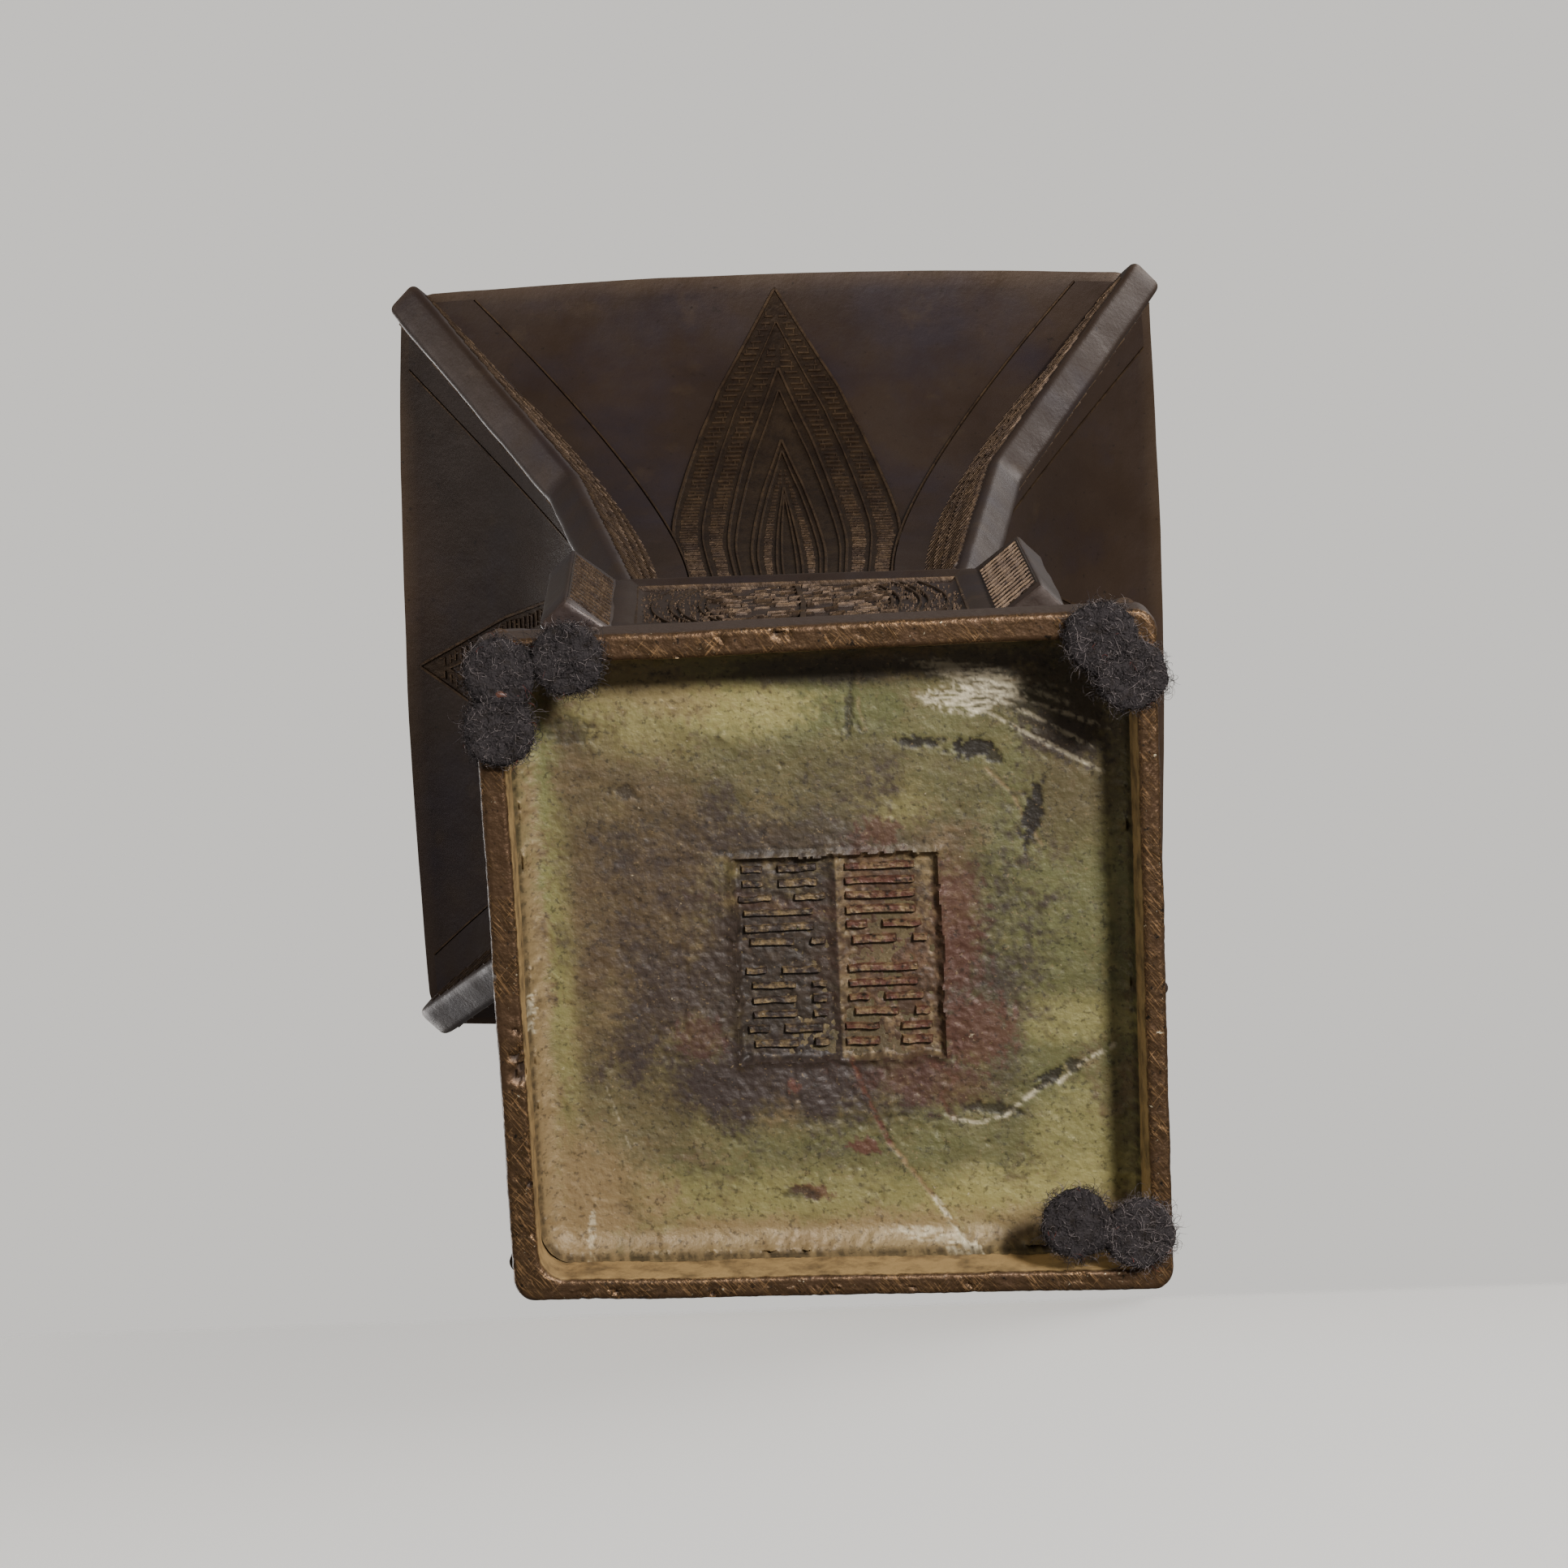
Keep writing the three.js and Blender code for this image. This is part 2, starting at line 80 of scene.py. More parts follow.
# Share of pale fibres on the more worn pads, and on the others
DUSTY = {
    "front_left_corner": 0.22,
    "front_right_front": 0.28,
    "front_right_corner": 0.24,
    "back_right_corner": 0.55,
}
DUSTY_ELSE = 0.18


def length(name, description, default):
    return bpy.props.FloatProperty(
        name=name, description=description, default=default, unit="LENGTH", precision=5
    )


def colour(name, description, default):
    return bpy.props.StringProperty(name=name, description=description, default=default)


class VaseSizes(bpy.types.PropertyGroup):
    lift: length("Lift", "Height of the foot rim above the ground", body_low.z)
    height: length("Height", "Height of the bronze from rim to lip", 0.276)
    band_height: length("Rim band", "Height of the straight band at the foot", 0.008)
    foot_height: length("Foot", "Height of the flaring foot", 0.074)
    knop_bottom: length("Knop bottom", "Height of the middle section's underside", 0.081)
    knop_top: length("Knop top", "Height of the middle section's top", 0.138)
    foot_half: length("Foot half width", "Half the width across the rim", 0.0475)
    flare_half: length("Flare half width", "Half the width just above the rim band", 0.045)
    waist_half: length("Waist half width", "Half the width at the top of the foot", 0.0295)
    knop_half: length("Knop half width", "Half the width of the middle section", 0.036)
    neck_half: length("Neck half width", "Half the width of the neck's base", 0.0276)
    lip_half: length("Lip half width", "Half the width of the mouth", 0.0723)
    wall: length("Wall", "Thickness of the cast wall", 0.003)
    knop_wall: length("Knop wall", "Thickness of the middle section's wall", 0.005)
    corner: length("Corner radius", "Radius of the rim's corners", 0.003)
    rim_width: length("Rim width", "Width of the bare rim under the foot", 0.0034)
    kink: length("Kink", "Height of the kink in the neck flanges", 0.221)
    kink_half: length("Kink half width", "Half the width over the neck flanges at their kink", 0.0415)
    neck_flange_low: length("Neck flange foot", "Half the width over the neck flanges at their foot", 0.0289)
    neck_flange_tip: length("Neck flange tip", "Half the width over the neck flanges at the mouth", 0.0737)
    foot_flange_low: length("Foot flange foot", "Half the width over the foot flanges at their foot", 0.0462)
    foot_flange_tip: length("Foot flange tip", "Half the width over the foot flanges at their top", 0.0356)
    foot_flange_top: length("Foot flange top", "Height of the foot flanges", 0.0715)
    knop_flange_half: length("Knop flange", "Half the width over the middle section's flanges", 0.0392)
    leaf_tip: length("Leaf tip", "Height of the leaves' tips", 0.2745)
    recess: length("Recess", "Depth of the base plate above the rim", 0.011)
    fillet: length("Fillet", "Radius between base plate and recess wall", 0.004)
    plate: length("Base plate", "Thickness of the base plate", 0.003)
    mark: length("Mark", "Side of the sunk square under the foot", 0.0293)
    flange_face: length("Flange", "Width of a corner flange's outer face", 0.0072)
    panel_half: length("Panel", "Half width of the middle section's panels", 0.0282)
    panel_depth: length("Panel depth", "Depth of the middle section's panels", 0.0014)
    foot_panel_depth: length("Foot panel depth", "Depth of the foot's panels", 0.0008)
    relief: length("Relief", "Height of the cast ornament", 0.0005)
    pitch: length("Pitch", "Distance between the rungs of the key fret", 0.0014)
    pad_radius: length("Pad radius", "Radius of a felt pad", 0.005)
    pad_height: length("Pad height", "Thickness of a felt pad", 0.0028)
    fibre: length("Fibre", "Length of the pads' loose fibres", 0.0028)
    fibre_radius: length("Fibre radius", "Radius of a loose fibre, drawn coarse", 0.00005)


class VaseColours(bpy.types.PropertyGroup):
    patina: colour("Patina", "Dark brown patina of the outside", "#35271f")
    patina_warm: colour("Warm patina", "Browner zones of the outside", "#3c2c20")
    patina_purple: colour("Purple patina", "Purplish zones of the outside", "#33282a")
    # On the relief's ridge tops this colour also serves as a painted highlight
    worn: colour("Worn bronze", "Rubbed bronze on edges and relief", "#5f4a34")
    # The groove colour is also the painted shade at the feet of the relief's ridges
    groove: colour("Groove", "Dirt in the relief's grooves", "#241a13")
    rim: colour("Rim", "Filed bronze of the rim", "#5c4531")
    rim_dark: colour("Dark rim", "Toned zones of the rim", "#46341f")
    scratch: colour("Scratch", "Fresh file marks", "#96734e")
    olive: colour("Olive", "Patina of the base plate", "#695f3d")
    green: colour("Green", "Green patina towards the edges", "#62643b")
    yellow: colour("Yellow", "Yellow-green bloom", "#9a8f58")
    brown: colour("Brown", "Brown zones of the base plate", "#54432e")
    tan: colour("Tan", "Earthy tan film", "#8a7350")
    # Made paler than the film itself: also a painted highlight for the glint on the recess walls
    wall_film_and_glint: colour("Wall film", "Tan film on the walls of the recess", "#a88a5c")
    purple: colour("Purple", "Bare purplish halo around the mark", "#3d312b")
    rust: colour("Rust", "Reddish film beside the mark", "#5b382b")
    scraped: colour("Scraped", "Scraped pale metal", "#cdbfa0")
    dirt: colour("Dirt", "Dark dirt in pits and corners", "#241d16")
    felt: colour("Felt", "Black wool felt", "#383333")
    felt_light: colour("Pale fibre", "Pale fibres and dust in the felt", "#857a77")
    felt_red: colour("Red fibre", "A few reddish fibres", "#7a3f36")
    glue: colour("Glue", "Yellowed glue", "#a4602c")
    ground: colour("Floor", "Pale studio floor", "#e0ddd8")


def sizes():
    return bpy.context.scene.vase_sizes


def tone(name):
    """The linear colour of one of the panel's sRGB hex colours."""
    text = getattr(bpy.context.scene.vase_colours, name)
    values = [int(text[i : i + 2], 16) / 255 for i in (1, 3, 5)]
    return [v / 12.92 if v <= 0.04045 else ((v + 0.055) / 1.055) ** 2.4 for v in values] + [1.0]


def add_node(tree, kind, inputs=None, ramp=None, **settings):
    """Adds a node with its settings, and its inputs as values or as other nodes' outputs."""
    node = tree.nodes.new(kind)
    for key, value in settings.items():
        setattr(node, key, value)
    for key, value in (inputs or {}).items():
        if isinstance(value, bpy.types.NodeSocket):
            tree.links.new(value, node.inputs[key])
        else:
            node.inputs[key].default_value = value
    if ramp:
        while len(node.color_ramp.elements) < len(ramp):
            node.color_ramp.elements.new(1.0)
        for element, (place, value) in zip(node.color_ramp.elements, ramp):
            element.position = place
            element.color = value if isinstance(value, list) else [value] * 3 + [1.0]
    return node


def new_material(name):
    """An empty node material and the object coordinates of its surface."""
    material = bpy.data.materials.new(name)
    material.use_nodes = True
    tree = material.node_tree
    tree.nodes.clear()
    coords = add_node(tree, "ShaderNodeTexCoord").outputs["Object"]
    return material, tree, coords


def finish_material(tree, colour_socket, roughness, normal, values):
    """Joins a material's colour, roughness and normal to its shader and output."""
    inputs = {"Base Color": colour_socket, "Roughness": roughness, "Normal": normal, **values}
    shader = add_node(tree, "ShaderNodeBsdfPrincipled", inputs)
    add_node(tree, "ShaderNodeOutputMaterial", {"Surface": shader.outputs[0]})


def spots(tree, coords, grain, detail, low, high):
    """Irregular patches of a grain in metres: 0 outside them and 1 inside."""
    inputs = {"Vector": coords, "Scale": 1 / grain, "Detail": detail, "Roughness": 0.6}
    field = add_node(tree, "ShaderNodeTexNoise", inputs)
    ramp = [(low, 0.0), (high, 1.0)]
    return add_node(tree, "ShaderNodeValToRGB", {0: field.outputs["Fac"]}, ramp=ramp).outputs[0]


def coated(tree, base, coats):
    """A base colour under coats of other colours, each as strong as its pattern."""
    for pattern, shade in coats:
        inputs = {0: pattern, 6: base, 7: tone(shade)}
        base = add_node(tree, "ShaderNodeMix", inputs, data_type="RGBA").outputs[2]
    return base


def roughened(tree, coords, grains):
    """A surface normal from grains, each with its size in metres, detail, depth in metres and strength."""
    normal = None
    for grain, detail, depth, strength in grains:
        field = add_node(tree, "ShaderNodeTexNoise", {"Vector": coords, "Scale": 1 / grain, "Detail": detail})
        inputs = {"Height": field.outputs["Fac"], "Distance": depth, "Strength": strength}
        if normal:
            inputs["Normal"] = normal
        normal = add_node(tree, "ShaderNodeBump", inputs).outputs[0]
    return normal


def patinated_bronze(name, wear):
    """Bronze cast in a mould and patinated dark brown, then waxed: a satin skin, mottled from brown to
    purple, with a few paler stains, and lighter where hands have rubbed the edges."""
    material, tree, coords = new_material(name)
    edge = add_node(tree, "ShaderNodeNewGeometry").outputs["Pointiness"]
    rubbed = add_node(tree, "ShaderNodeValToRGB", {0: edge}, ramp=[(0.52, 0.0), (0.64, wear)])
    stains = spots(tree, coords, 11 * MM, 7, 0.60, 0.74)
    faint = add_node(tree, "ShaderNodeMath", {0: stains, 1: 0.35}, operation="MULTIPLY")
    coats = [
        (spots(tree, coords, 50 * MM, 6, 0.40, 0.66), "patina_warm"),
        (spots(tree, coords, 24 * MM, 7, 0.48, 0.70), "patina_purple"),
        (rubbed.outputs[0], "worn"),
        (faint.outputs[0], "brown"),
        (spots(tree, coords, 1.4 * MM, 4, 0.64, 0.76), "groove"),
    ]
    base = coated(tree, tone("patina"), coats)
    waxed = {"Vector": coords, "Scale": 60, "Detail": 9, "Roughness": 0.65}
    cloudy = add_node(tree, "ShaderNodeTexNoise", waxed).outputs["Fac"]
    limits = {"Value": cloudy, "From Min": 0.3, "From Max": 0.7, "To Min": 0.34, "To Max": 0.60}
    roughness = add_node(tree, "ShaderNodeMapRange", limits).outputs[0]
    normal = roughened(tree, coords, [(1 / 180, 6, 0.5 * MM, 0.35), (1 / 1300, 4, 0.08 * MM, 0.5)])
    finish_material(tree, base, roughness, normal, {"Metallic": 0.35})
    return material


# The same casting in its ornament: ridge tops a little brassier, partly wear and partly painted highlight,
# over dark feet, partly dirt and partly painted shade, and the coarser skin of fine cast lines gone soft with
# wear
def rubbed_bronze_painted_light():
    material, tree, coords = new_material("rubbed_relief_bronze_painted_light")
    coats = [
        (spots(tree, coords, 5 * MM, 6, 0.34, 0.70), "worn"),
        (spots(tree, coords, 1.3 * MM, 4, 0.50, 0.72), "patina"),
    ]
    tops = coated(tree, tone("patina_warm"), coats)
    # Dark at each ridge's foot and lighter on its top: dirt and wear, and also painted shade and painted
    # highlight
    height = add_node(tree, "ShaderNodeAttribute", attribute_name="relief_top").outputs["Fac"]
    rubbed = add_node(tree, "ShaderNodeValToRGB", {0: height}, ramp=[(0.2, 0.0), (0.9, 1.0)])
    inputs = {0: rubbed.outputs[0], 6: tone("groove"), 7: tops}
    base = add_node(tree, "ShaderNodeMix", inputs, data_type="RGBA").outputs[2]
    normal = roughened(tree, coords, [(1 / 900, 5, 0.2 * MM, 0.8)])
    finish_material(tree, base, 0.5, normal, {"Metallic": 0.65})
    return material


# Bare bronze filed flat across the rim: warm brown metal with fine slanting file marks and grey-green
# specks, and the patina of its neighbours above the edge
def filed_bronze():
    material, tree, coords = new_material("filed_rim_bronze")
    coats = [(spots(tree, coords, 5 * MM, 7, 0.34, 0.72), "rim_dark")]
    for turn, grain, low in ((-35, 0.26, 0.56), (-48, 0.20, 0.57), (40, 0.26, 0.62)):
        stretched = {"Vector": coords, "Rotation": (0, 0, math.radians(turn)), "Scale": (1.0, 22.0, 1.0)}
        slanted = add_node(tree, "ShaderNodeMapping", stretched, vector_type="TEXTURE").outputs[0]
        marks = spots(tree, slanted, grain * MM, 2, low, low + 0.09)
        filed = {0: marks, 1: spots(tree, coords, 5 * MM, 3, 0.40, 0.62)}
        coats.append((add_node(tree, "ShaderNodeMath", filed, operation="MULTIPLY").outputs[0], "scratch"))
    coats.append((spots(tree, coords, 1.1 * MM, 4, 0.60, 0.70), "dirt"))
    coats.append((spots(tree, coords, 0.9 * MM, 3, 0.69, 0.75), "scraped"))
    bare = coated(tree, tone("rim"), coats)
    # The recess walls: a tan film with brown spots, made paler as a painted highlight of their glint
    wall = coated(tree, tone("wall_film_and_glint"), [(spots(tree, coords, 4 * MM, 7, 0.44, 0.72), "brown")])
    inside = add_node(tree, "ShaderNodeAttribute", attribute_name="inside").outputs["Fac"]
    sides = {0: inside, 6: tone("patina_warm"), 7: wall}
    side = add_node(tree, "ShaderNodeMix", sides, data_type="RGBA").outputs[2]
    place = add_node(tree, "ShaderNodeSeparateXYZ", {0: coords})
    wobble = add_node(tree, "ShaderNodeTexNoise", {"Vector": coords, "Scale": 700, "Detail": 3})
    ragged = {0: wobble.outputs["Fac"], 1: 1.0 * MM, 2: place.outputs["Z"]}
    height = add_node(tree, "ShaderNodeMath", ragged, operation="MULTIPLY_ADD").outputs[0]
    rim_edge = sizes().lift + 0.8 * MM
    edge = {"Value": height, "From Min": rim_edge, "From Max": rim_edge + 0.5 * MM}
    above = add_node(tree, "ShaderNodeMapRange", edge).outputs[0]
    inputs = {0: above, 6: bare, 7: side}
    base = add_node(tree, "ShaderNodeMix", inputs, data_type="RGBA").outputs[2]
    metal = {"Value": above, "To Min": 0.7, "To Max": 0.2}
    metallic = add_node(tree, "ShaderNodeMapRange", metal).outputs[0]
    rough = {"Value": above, "To Min": 0.45, "To Max": 0.6}
    roughness = add_node(tree, "ShaderNodeMapRange", rough).outputs[0]
    lumps = roughened(tree, coords, [(1 / 800, 5, 0.3 * MM, 0.7)])
    files = add_node(tree, "ShaderNodeTexNoise", {"Vector": slanted, "Scale": 2500, "Detail": 2})
    scored = {"Height": files.outputs["Fac"], "Distance": 0.1 * MM, "Strength": 0.5, "Normal": lumps}
    normal = add_node(tree, "ShaderNodeBump", scored).outputs[0]
    finish_material(tree, base, roughness, normal, {"Metallic": metallic})
    return material


# Bronze left rough from the mould under the foot, under a dull film of olive and yellow-green
# corrosion, worn to bare purplish metal around the mark, with earth, rust and scraped metal
def green_patina():
    material, tree, coords = new_material("green_patinated_bronze")
    streaks = add_node(tree, "ShaderNodeMapping", {"Vector": coords, "Scale": (0.35, 1.0, 1.0)}).outputs[0]
    worn = spots(tree, streaks, 1.6 * MM, 6, 0.42, 0.64)
    thin = add_node(tree, "ShaderNodeMath", {0: worn, 1: 0.40}, operation="MULTIPLY").outputs[0]
    coats = [(spots(tree, coords, 12 * MM, 8, 0.38, 0.62), "brown"), (thin, "tan")]
    for film in ("green", "yellow", "tan", "brown", "purple", "rust", "scraped", "dirt"):
        coats.append((add_node(tree, "ShaderNodeAttribute", attribute_name=film).outputs["Fac"], film))
    specks = [
        (0.8, 0.56, 0.55, "dirt"),
        (0.6, 0.62, 0.60, "tan"),
        (3.0, 0.66, 0.50, "brown"),
        (1.2, 0.71, 0.80, "scraped"),
    ]
    for grain, low, share, shade in specks:
        strewn = {0: spots(tree, coords, grain * MM, 4, low, low + 0.10), 1: share}
        coats.append((add_node(tree, "ShaderNodeMath", strewn, operation="MULTIPLY").outputs[0], shade))
    base = coated(tree, tone("olive"), coats)
    normal = roughened(tree, coords, [(1 / 1000, 6, 0.16 * MM, 0.7), (1 / 1700, 5, 0.12 * MM, 0.8)])
    finish_material(tree, base, 0.55, normal, {"Metallic": 0.2})
    return material


# The strokes in the sunk square: the rough cast bronze, dark in one half and rusty in the other, with
# paler crust on its edges and green specks
def mark_bronze():
    material, tree, coords = new_material("crusted_mark_bronze")
    place = add_node(tree, "ShaderNodeSeparateXYZ", {0: coords})
    limits = {"Value": place.outputs["X"], "From Min": 0.0, "From Max": 3 * MM}
    coats = [
        (add_node(tree, "ShaderNodeMapRange", limits).outputs[0], "rust"),
        (spots(tree, coords, 1.5 * MM, 6, 0.44, 0.66), "tan"),
        (spots(tree, coords, 1.1 * MM, 5, 0.50, 0.66), "dirt"),
        (spots(tree, coords, 0.8 * MM, 3, 0.68, 0.76), "green"),
    ]
    base = coated(tree, tone("purple"), coats)
    normal = roughened(tree, coords, [(1 / 900, 6, 0.4 * MM, 0.9)])
    finish_material(tree, base, 0.5, normal, {"Metallic": 0.25})
    return material


# The patches of the film under the foot, in metres: centre, radii, turn and strength
FILMS = {
    "green": [
        ((0.012, -0.028), (0.040, 0.013), 0.1, 0.55), ((0.031, 0.000), (0.013, 0.040), 0.0, 0.7),
        ((0.005, 0.032), (0.040, 0.011), -0.05, 0.6), ((-0.0405, -0.008), (0.0035, 0.032), 0.0, 1.0),
        ((-0.020, 0.020), (0.016, 0.014), 0.4, 0.35), ((-0.010, -0.036), (0.030, 0.006), 0.1, 0.8),
    ],
    "yellow": [
        ((-0.0155, -0.0362), (0.013, 0.0045), 0.1, 1.0), ((-0.027, -0.0345), (0.010, 0.006), 0.5, 0.6),
        ((0.0250, 0.0365), (0.015, 0.0045), -0.15, 0.9), ((0.033, 0.011), (0.009, 0.0035), 0.0, 0.55),
        ((0.034, 0.030), (0.006, 0.010), 0.2, 0.5), ((-0.004, 0.0365), (0.036, 0.0045), 0.03, 0.5),
        ((0.009, -0.020), (0.006, 0.006), 0.4, 0.45), ((-0.0385, 0.000), (0.0022, 0.025), 0.0, 0.5),
    ],
    "tan": [
        ((-0.037, 0.037), (0.012, 0.010), 0.7, 0.9), ((-0.010, 0.0415), (0.040, 0.0032), 0.0, 0.85),
        ((-0.0425, 0.008), (0.0026, 0.040), 0.0, 0.9), ((-0.024, -0.0385), (0.012, 0.004), 0.1, 0.6),
        ((-0.024, 0.005), (0.006, 0.0035), 0.3, 0.45), ((0.0270, 0.040), (0.014, 0.003), -0.1, 0.7),
    ],
    "brown": [
        ((-0.026, -0.008), (0.012, 0.024), 0.0, 0.75), ((-0.024, 0.018), (0.012, 0.010), 0.0, 0.4),
        ((0.000, -0.024), (0.022, 0.006), 0.0, 0.35), ((0.036, -0.024), (0.006, 0.012), 0.2, 0.6),
        ((-0.010, -0.016), (0.010, 0.004), 0.0, 0.5),
    ],
    "purple": [
        ((0.000, 0.002), (0.0265, 0.0215), 0.0, 0.9), ((-0.005, 0.0180), (0.020, 0.0075), 0.1, 1.0),
        ((0.0235, 0.010), (0.0045, 0.0120), -0.1, 0.7), ((-0.014, 0.002), (0.009, 0.018), 0.0, 0.8),
        ((0.002, -0.0155), (0.019, 0.0045), 0.0, 0.7),
        ((0.034, -0.035), (0.008, 0.007), 0.7, 0.6), ((0.012, -0.040), (0.034, 0.0022), 0.0, 0.8),
        ((0.0335, -0.0295), (0.006, 0.003), 0.5, 0.8), ((0.030, -0.0350), (0.010, 0.0035), 0.35, 0.6),
        ((0.0245, -0.0385), (0.012, 0.003), 0.3, 0.6),
    ],
    "rust": [
        ((0.0180, -0.004), (0.0040, 0.0100), 0.0, 0.7), ((0.0085, 0.002), (0.0075, 0.0140), 0.0, 0.65),
        ((0.0205, 0.0125), (0.0055, 0.0050), 0.3, 0.7), ((0.0135, 0.0195), (0.0090, 0.0030), 0.1, 0.5),
        ((0.0040, 0.0285), (0.0020, 0.0012), 0.2, 0.9), ((-0.0190, 0.0120), (0.0035, 0.0030), 0.2, 0.4),
        ((-0.0040, 0.0350), (0.0030, 0.0012), 0.2, 0.8), ((-0.0060, 0.0195), (0.0010, 0.0010), 0.2, 0.9),
        ((0.0080, -0.0170), (0.0030, 0.0020), 0.1, 0.6), ((-0.0045, -0.0060), (0.0120, 0.0015), 0.2, 0.4),
    ],
    "scraped": [
        ((0.0203, -0.0350), (0.0042, 0.0021), 0.15, 1.0), ((0.0255, -0.0362), (0.0030, 0.0012), 0.2, 0.8),
        ((0.0165, -0.0352), (0.0028, 0.0010), 0.0, 0.8), ((0.0178, 0.0432), (0.0022, 0.0010), 0.2, 0.9),
        ((-0.0432, 0.0075), (0.0008, 0.0024), 0.0, 0.9), ((0.0220, -0.0385), (0.0090, 0.0012), 0.25, 0.5),
        ((-0.0362, 0.0395), (0.0006, 0.0030), 0.1, 0.7), ((0.0130, 0.0415), (0.0050, 0.0008), 0.1, 0.6),
    ],
    "dirt": [
        ((0.0140, -0.0292), (0.0030, 0.0008), 0.05, 0.9), ((0.0215, -0.0280), (0.0030, 0.0014), 0.0, 0.95),
        ((0.0245, -0.0268), (0.0012, 0.0012), 0.0, 0.8), ((0.0298, -0.0185), (0.0013, 0.0042), 0.25, 0.95),
        ((0.0310, 0.0195), (0.0022, 0.0011), -0.6, 0.9), ((0.0345, 0.0175), (0.0016, 0.0010), -0.4, 0.8),
        ((-0.0281, -0.0238), (0.0022, 0.0010), 0.1, 0.6), ((-0.0353, -0.0328), (0.0028, 0.0022), 0.3, 0.6),
        ((-0.0056, 0.0352), (0.0030, 0.0010), 0.2, 0.6), ((0.0042, -0.0335), (0.0006, 0.0036), 0.1, 0.7),
        ((0.0225, 0.0235), (0.0040, 0.0008), 0.1, 0.7), ((-0.0060, -0.0145), (0.0090, 0.0006), 0.0, 0.5),
    ],
}


def felt_wool(name, core):
    """Needled wool felt: matt black tangled fibres, grey with dust where they stand up."""
    material, tree, coords = new_material(name)
    if core:
        base = coated(tree, tone("felt"), [(spots(tree, coords, 1.6 * MM, 5, 0.52, 0.76), "dirt")])
    else:
        shade = add_node(tree, "ShaderNodeAttribute", attribute_name="fibre_tone").outputs["Fac"]
        shades = [(0.0, "felt"), (0.55, "felt"), (0.9, "felt_light"), (1.0, "felt_red")]
        ramp = [(place, tone(colour_name)) for place, colour_name in shades]
        base = add_node(tree, "ShaderNodeValToRGB", {0: shade}, ramp=ramp).outputs[0]
    normal = roughened(tree, coords, [(1 / 3000, 5, 0.4 * MM, 1.0)])
    finish_material(tree, base, 1.0, normal, {"Specular IOR Level": 0.15})
    return material


# Hot glue that has yellowed: smooth, and a little duller than glass
def yellow_glue():
    material, tree, coords = new_material("yellowed_glue")
    base = coated(tree, tone("glue"), [(spots(tree, coords, 2 * MM, 2, 0.4, 0.6), "rust")])
    normal = roughened(tree, coords, [(1 / 900, 2, 0.2 * MM, 0.3)])
    finish_material(tree, base, 0.4, normal, {"IOR": 1.48})
    return material


def select_nothing():
    if bpy.context.object and bpy.context.object.mode != "OBJECT":
        bpy.ops.object.mode_set(mode="OBJECT")
    bpy.ops.object.select_all(action="DESELECT")


def select_only(obj):
    select_nothing()
    obj.select_set(True)
    bpy.context.view_layer.objects.active = obj


def make_piece(obj, name, slot, *nodes):
    """Names a finished piece, sets its place in its mesh and hangs it on the vase."""
    select_only(obj)
    bpy.ops.object.transform_apply(location=True, rotation=True, scale=True)
    obj.name = name
    obj.data.name = name
    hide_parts(*nodes)
    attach(obj, "root")
    select_nothing()
    return obj


def mesh_object(name, vertices, faces, material, values=None):
    """An object from arrays, with float values at its vertices."""
    mesh = bpy.data.meshes.new(name)
    mesh.from_pydata([tuple(v) for v in vertices], [], [tuple(f) for f in faces])
    for key, numbers in (values or {}).items():
        layer = mesh.attributes.new(key, "FLOAT", "POINT")
        layer.data.foreach_set("value", np.asarray(numbers, np.float32))
    obj = bpy.data.objects.new(name, mesh)
    bpy.context.scene.collection.objects.link(obj)
    mesh.materials.append(material)
    return obj


def shade_smooth(obj, degrees):
    select_only(obj)
    bpy.ops.object.shade_smooth_by_angle(angle=math.radians(degrees))


def curve_points(ends, count):
    """Points [half width, height] on a cubic curve through four control points."""
    points = []
    for i in range(count + 1):
        t = i / count
        weights = ((1 - t) ** 3, 3 * t * (1 - t) ** 2, 3 * t * t * (1 - t), t**3)
        points.append(tuple(sum(w * p[axis] for w, p in zip(weights, ends)) for axis in (0, 1)))
    return points


def foot_line(count):
    s = sizes()
    ends = [
        (s.flare_half, s.band_height),
        (s.flare_half - 0.009, s.band_height + 0.2 * s.foot_height),
        (s.waist_half + 0.0015, 0.6 * s.foot_height),
        (s.waist_half, s.foot_height),
    ]
    return curve_points(ends, count)


def neck_line(count):
    s = sizes()
    span = s.height - s.knop_top
    ends = [
        (s.neck_half, s.knop_top),
        (s.neck_half - 0.0011, s.knop_top + 0.543 * span),
        (s.neck_half + 0.0064, s.knop_top + 0.826 * span),
        (s.lip_half, s.height),
    ]
    return curve_points(ends, count)


def skewed(points):
    """Points moved as the foot's four corners lie off a true square, fading out upwards."""
    s = sizes()
    corners = {(0, 0): (-0.7, -0.3), (1, 0): (0.1, -2.0), (1, 1): (1.2, 1.9), (0, 1): (1.9, 0.4)}
    u = (points[:, 0] / s.foot_half + 1) / 2
    v = (points[:, 1] / s.foot_half + 1) / 2
    fade = np.clip(1 - (points[:, 2] - s.lift) / 0.070, 0, None)
    moved = points.copy()
    for (i, j), shift in corners.items():
        weight = (u if i else 1 - u) * (v if j else 1 - v) * fade * MM
        moved[:, 0] += weight * shift[0]
        moved[:, 1] += weight * shift[1]
    return moved


def bow_at(across, height):
    """How far the middle of a mouth side bows out of the straight line between its corners."""
    s = sizes()
    rise = np.clip((height - 0.215) / (s.height - 0.215), 0, 1)
    return 0.0022 * rise**2 * np.clip(1 - (across / s.lip_half) ** 2, 0, 1)


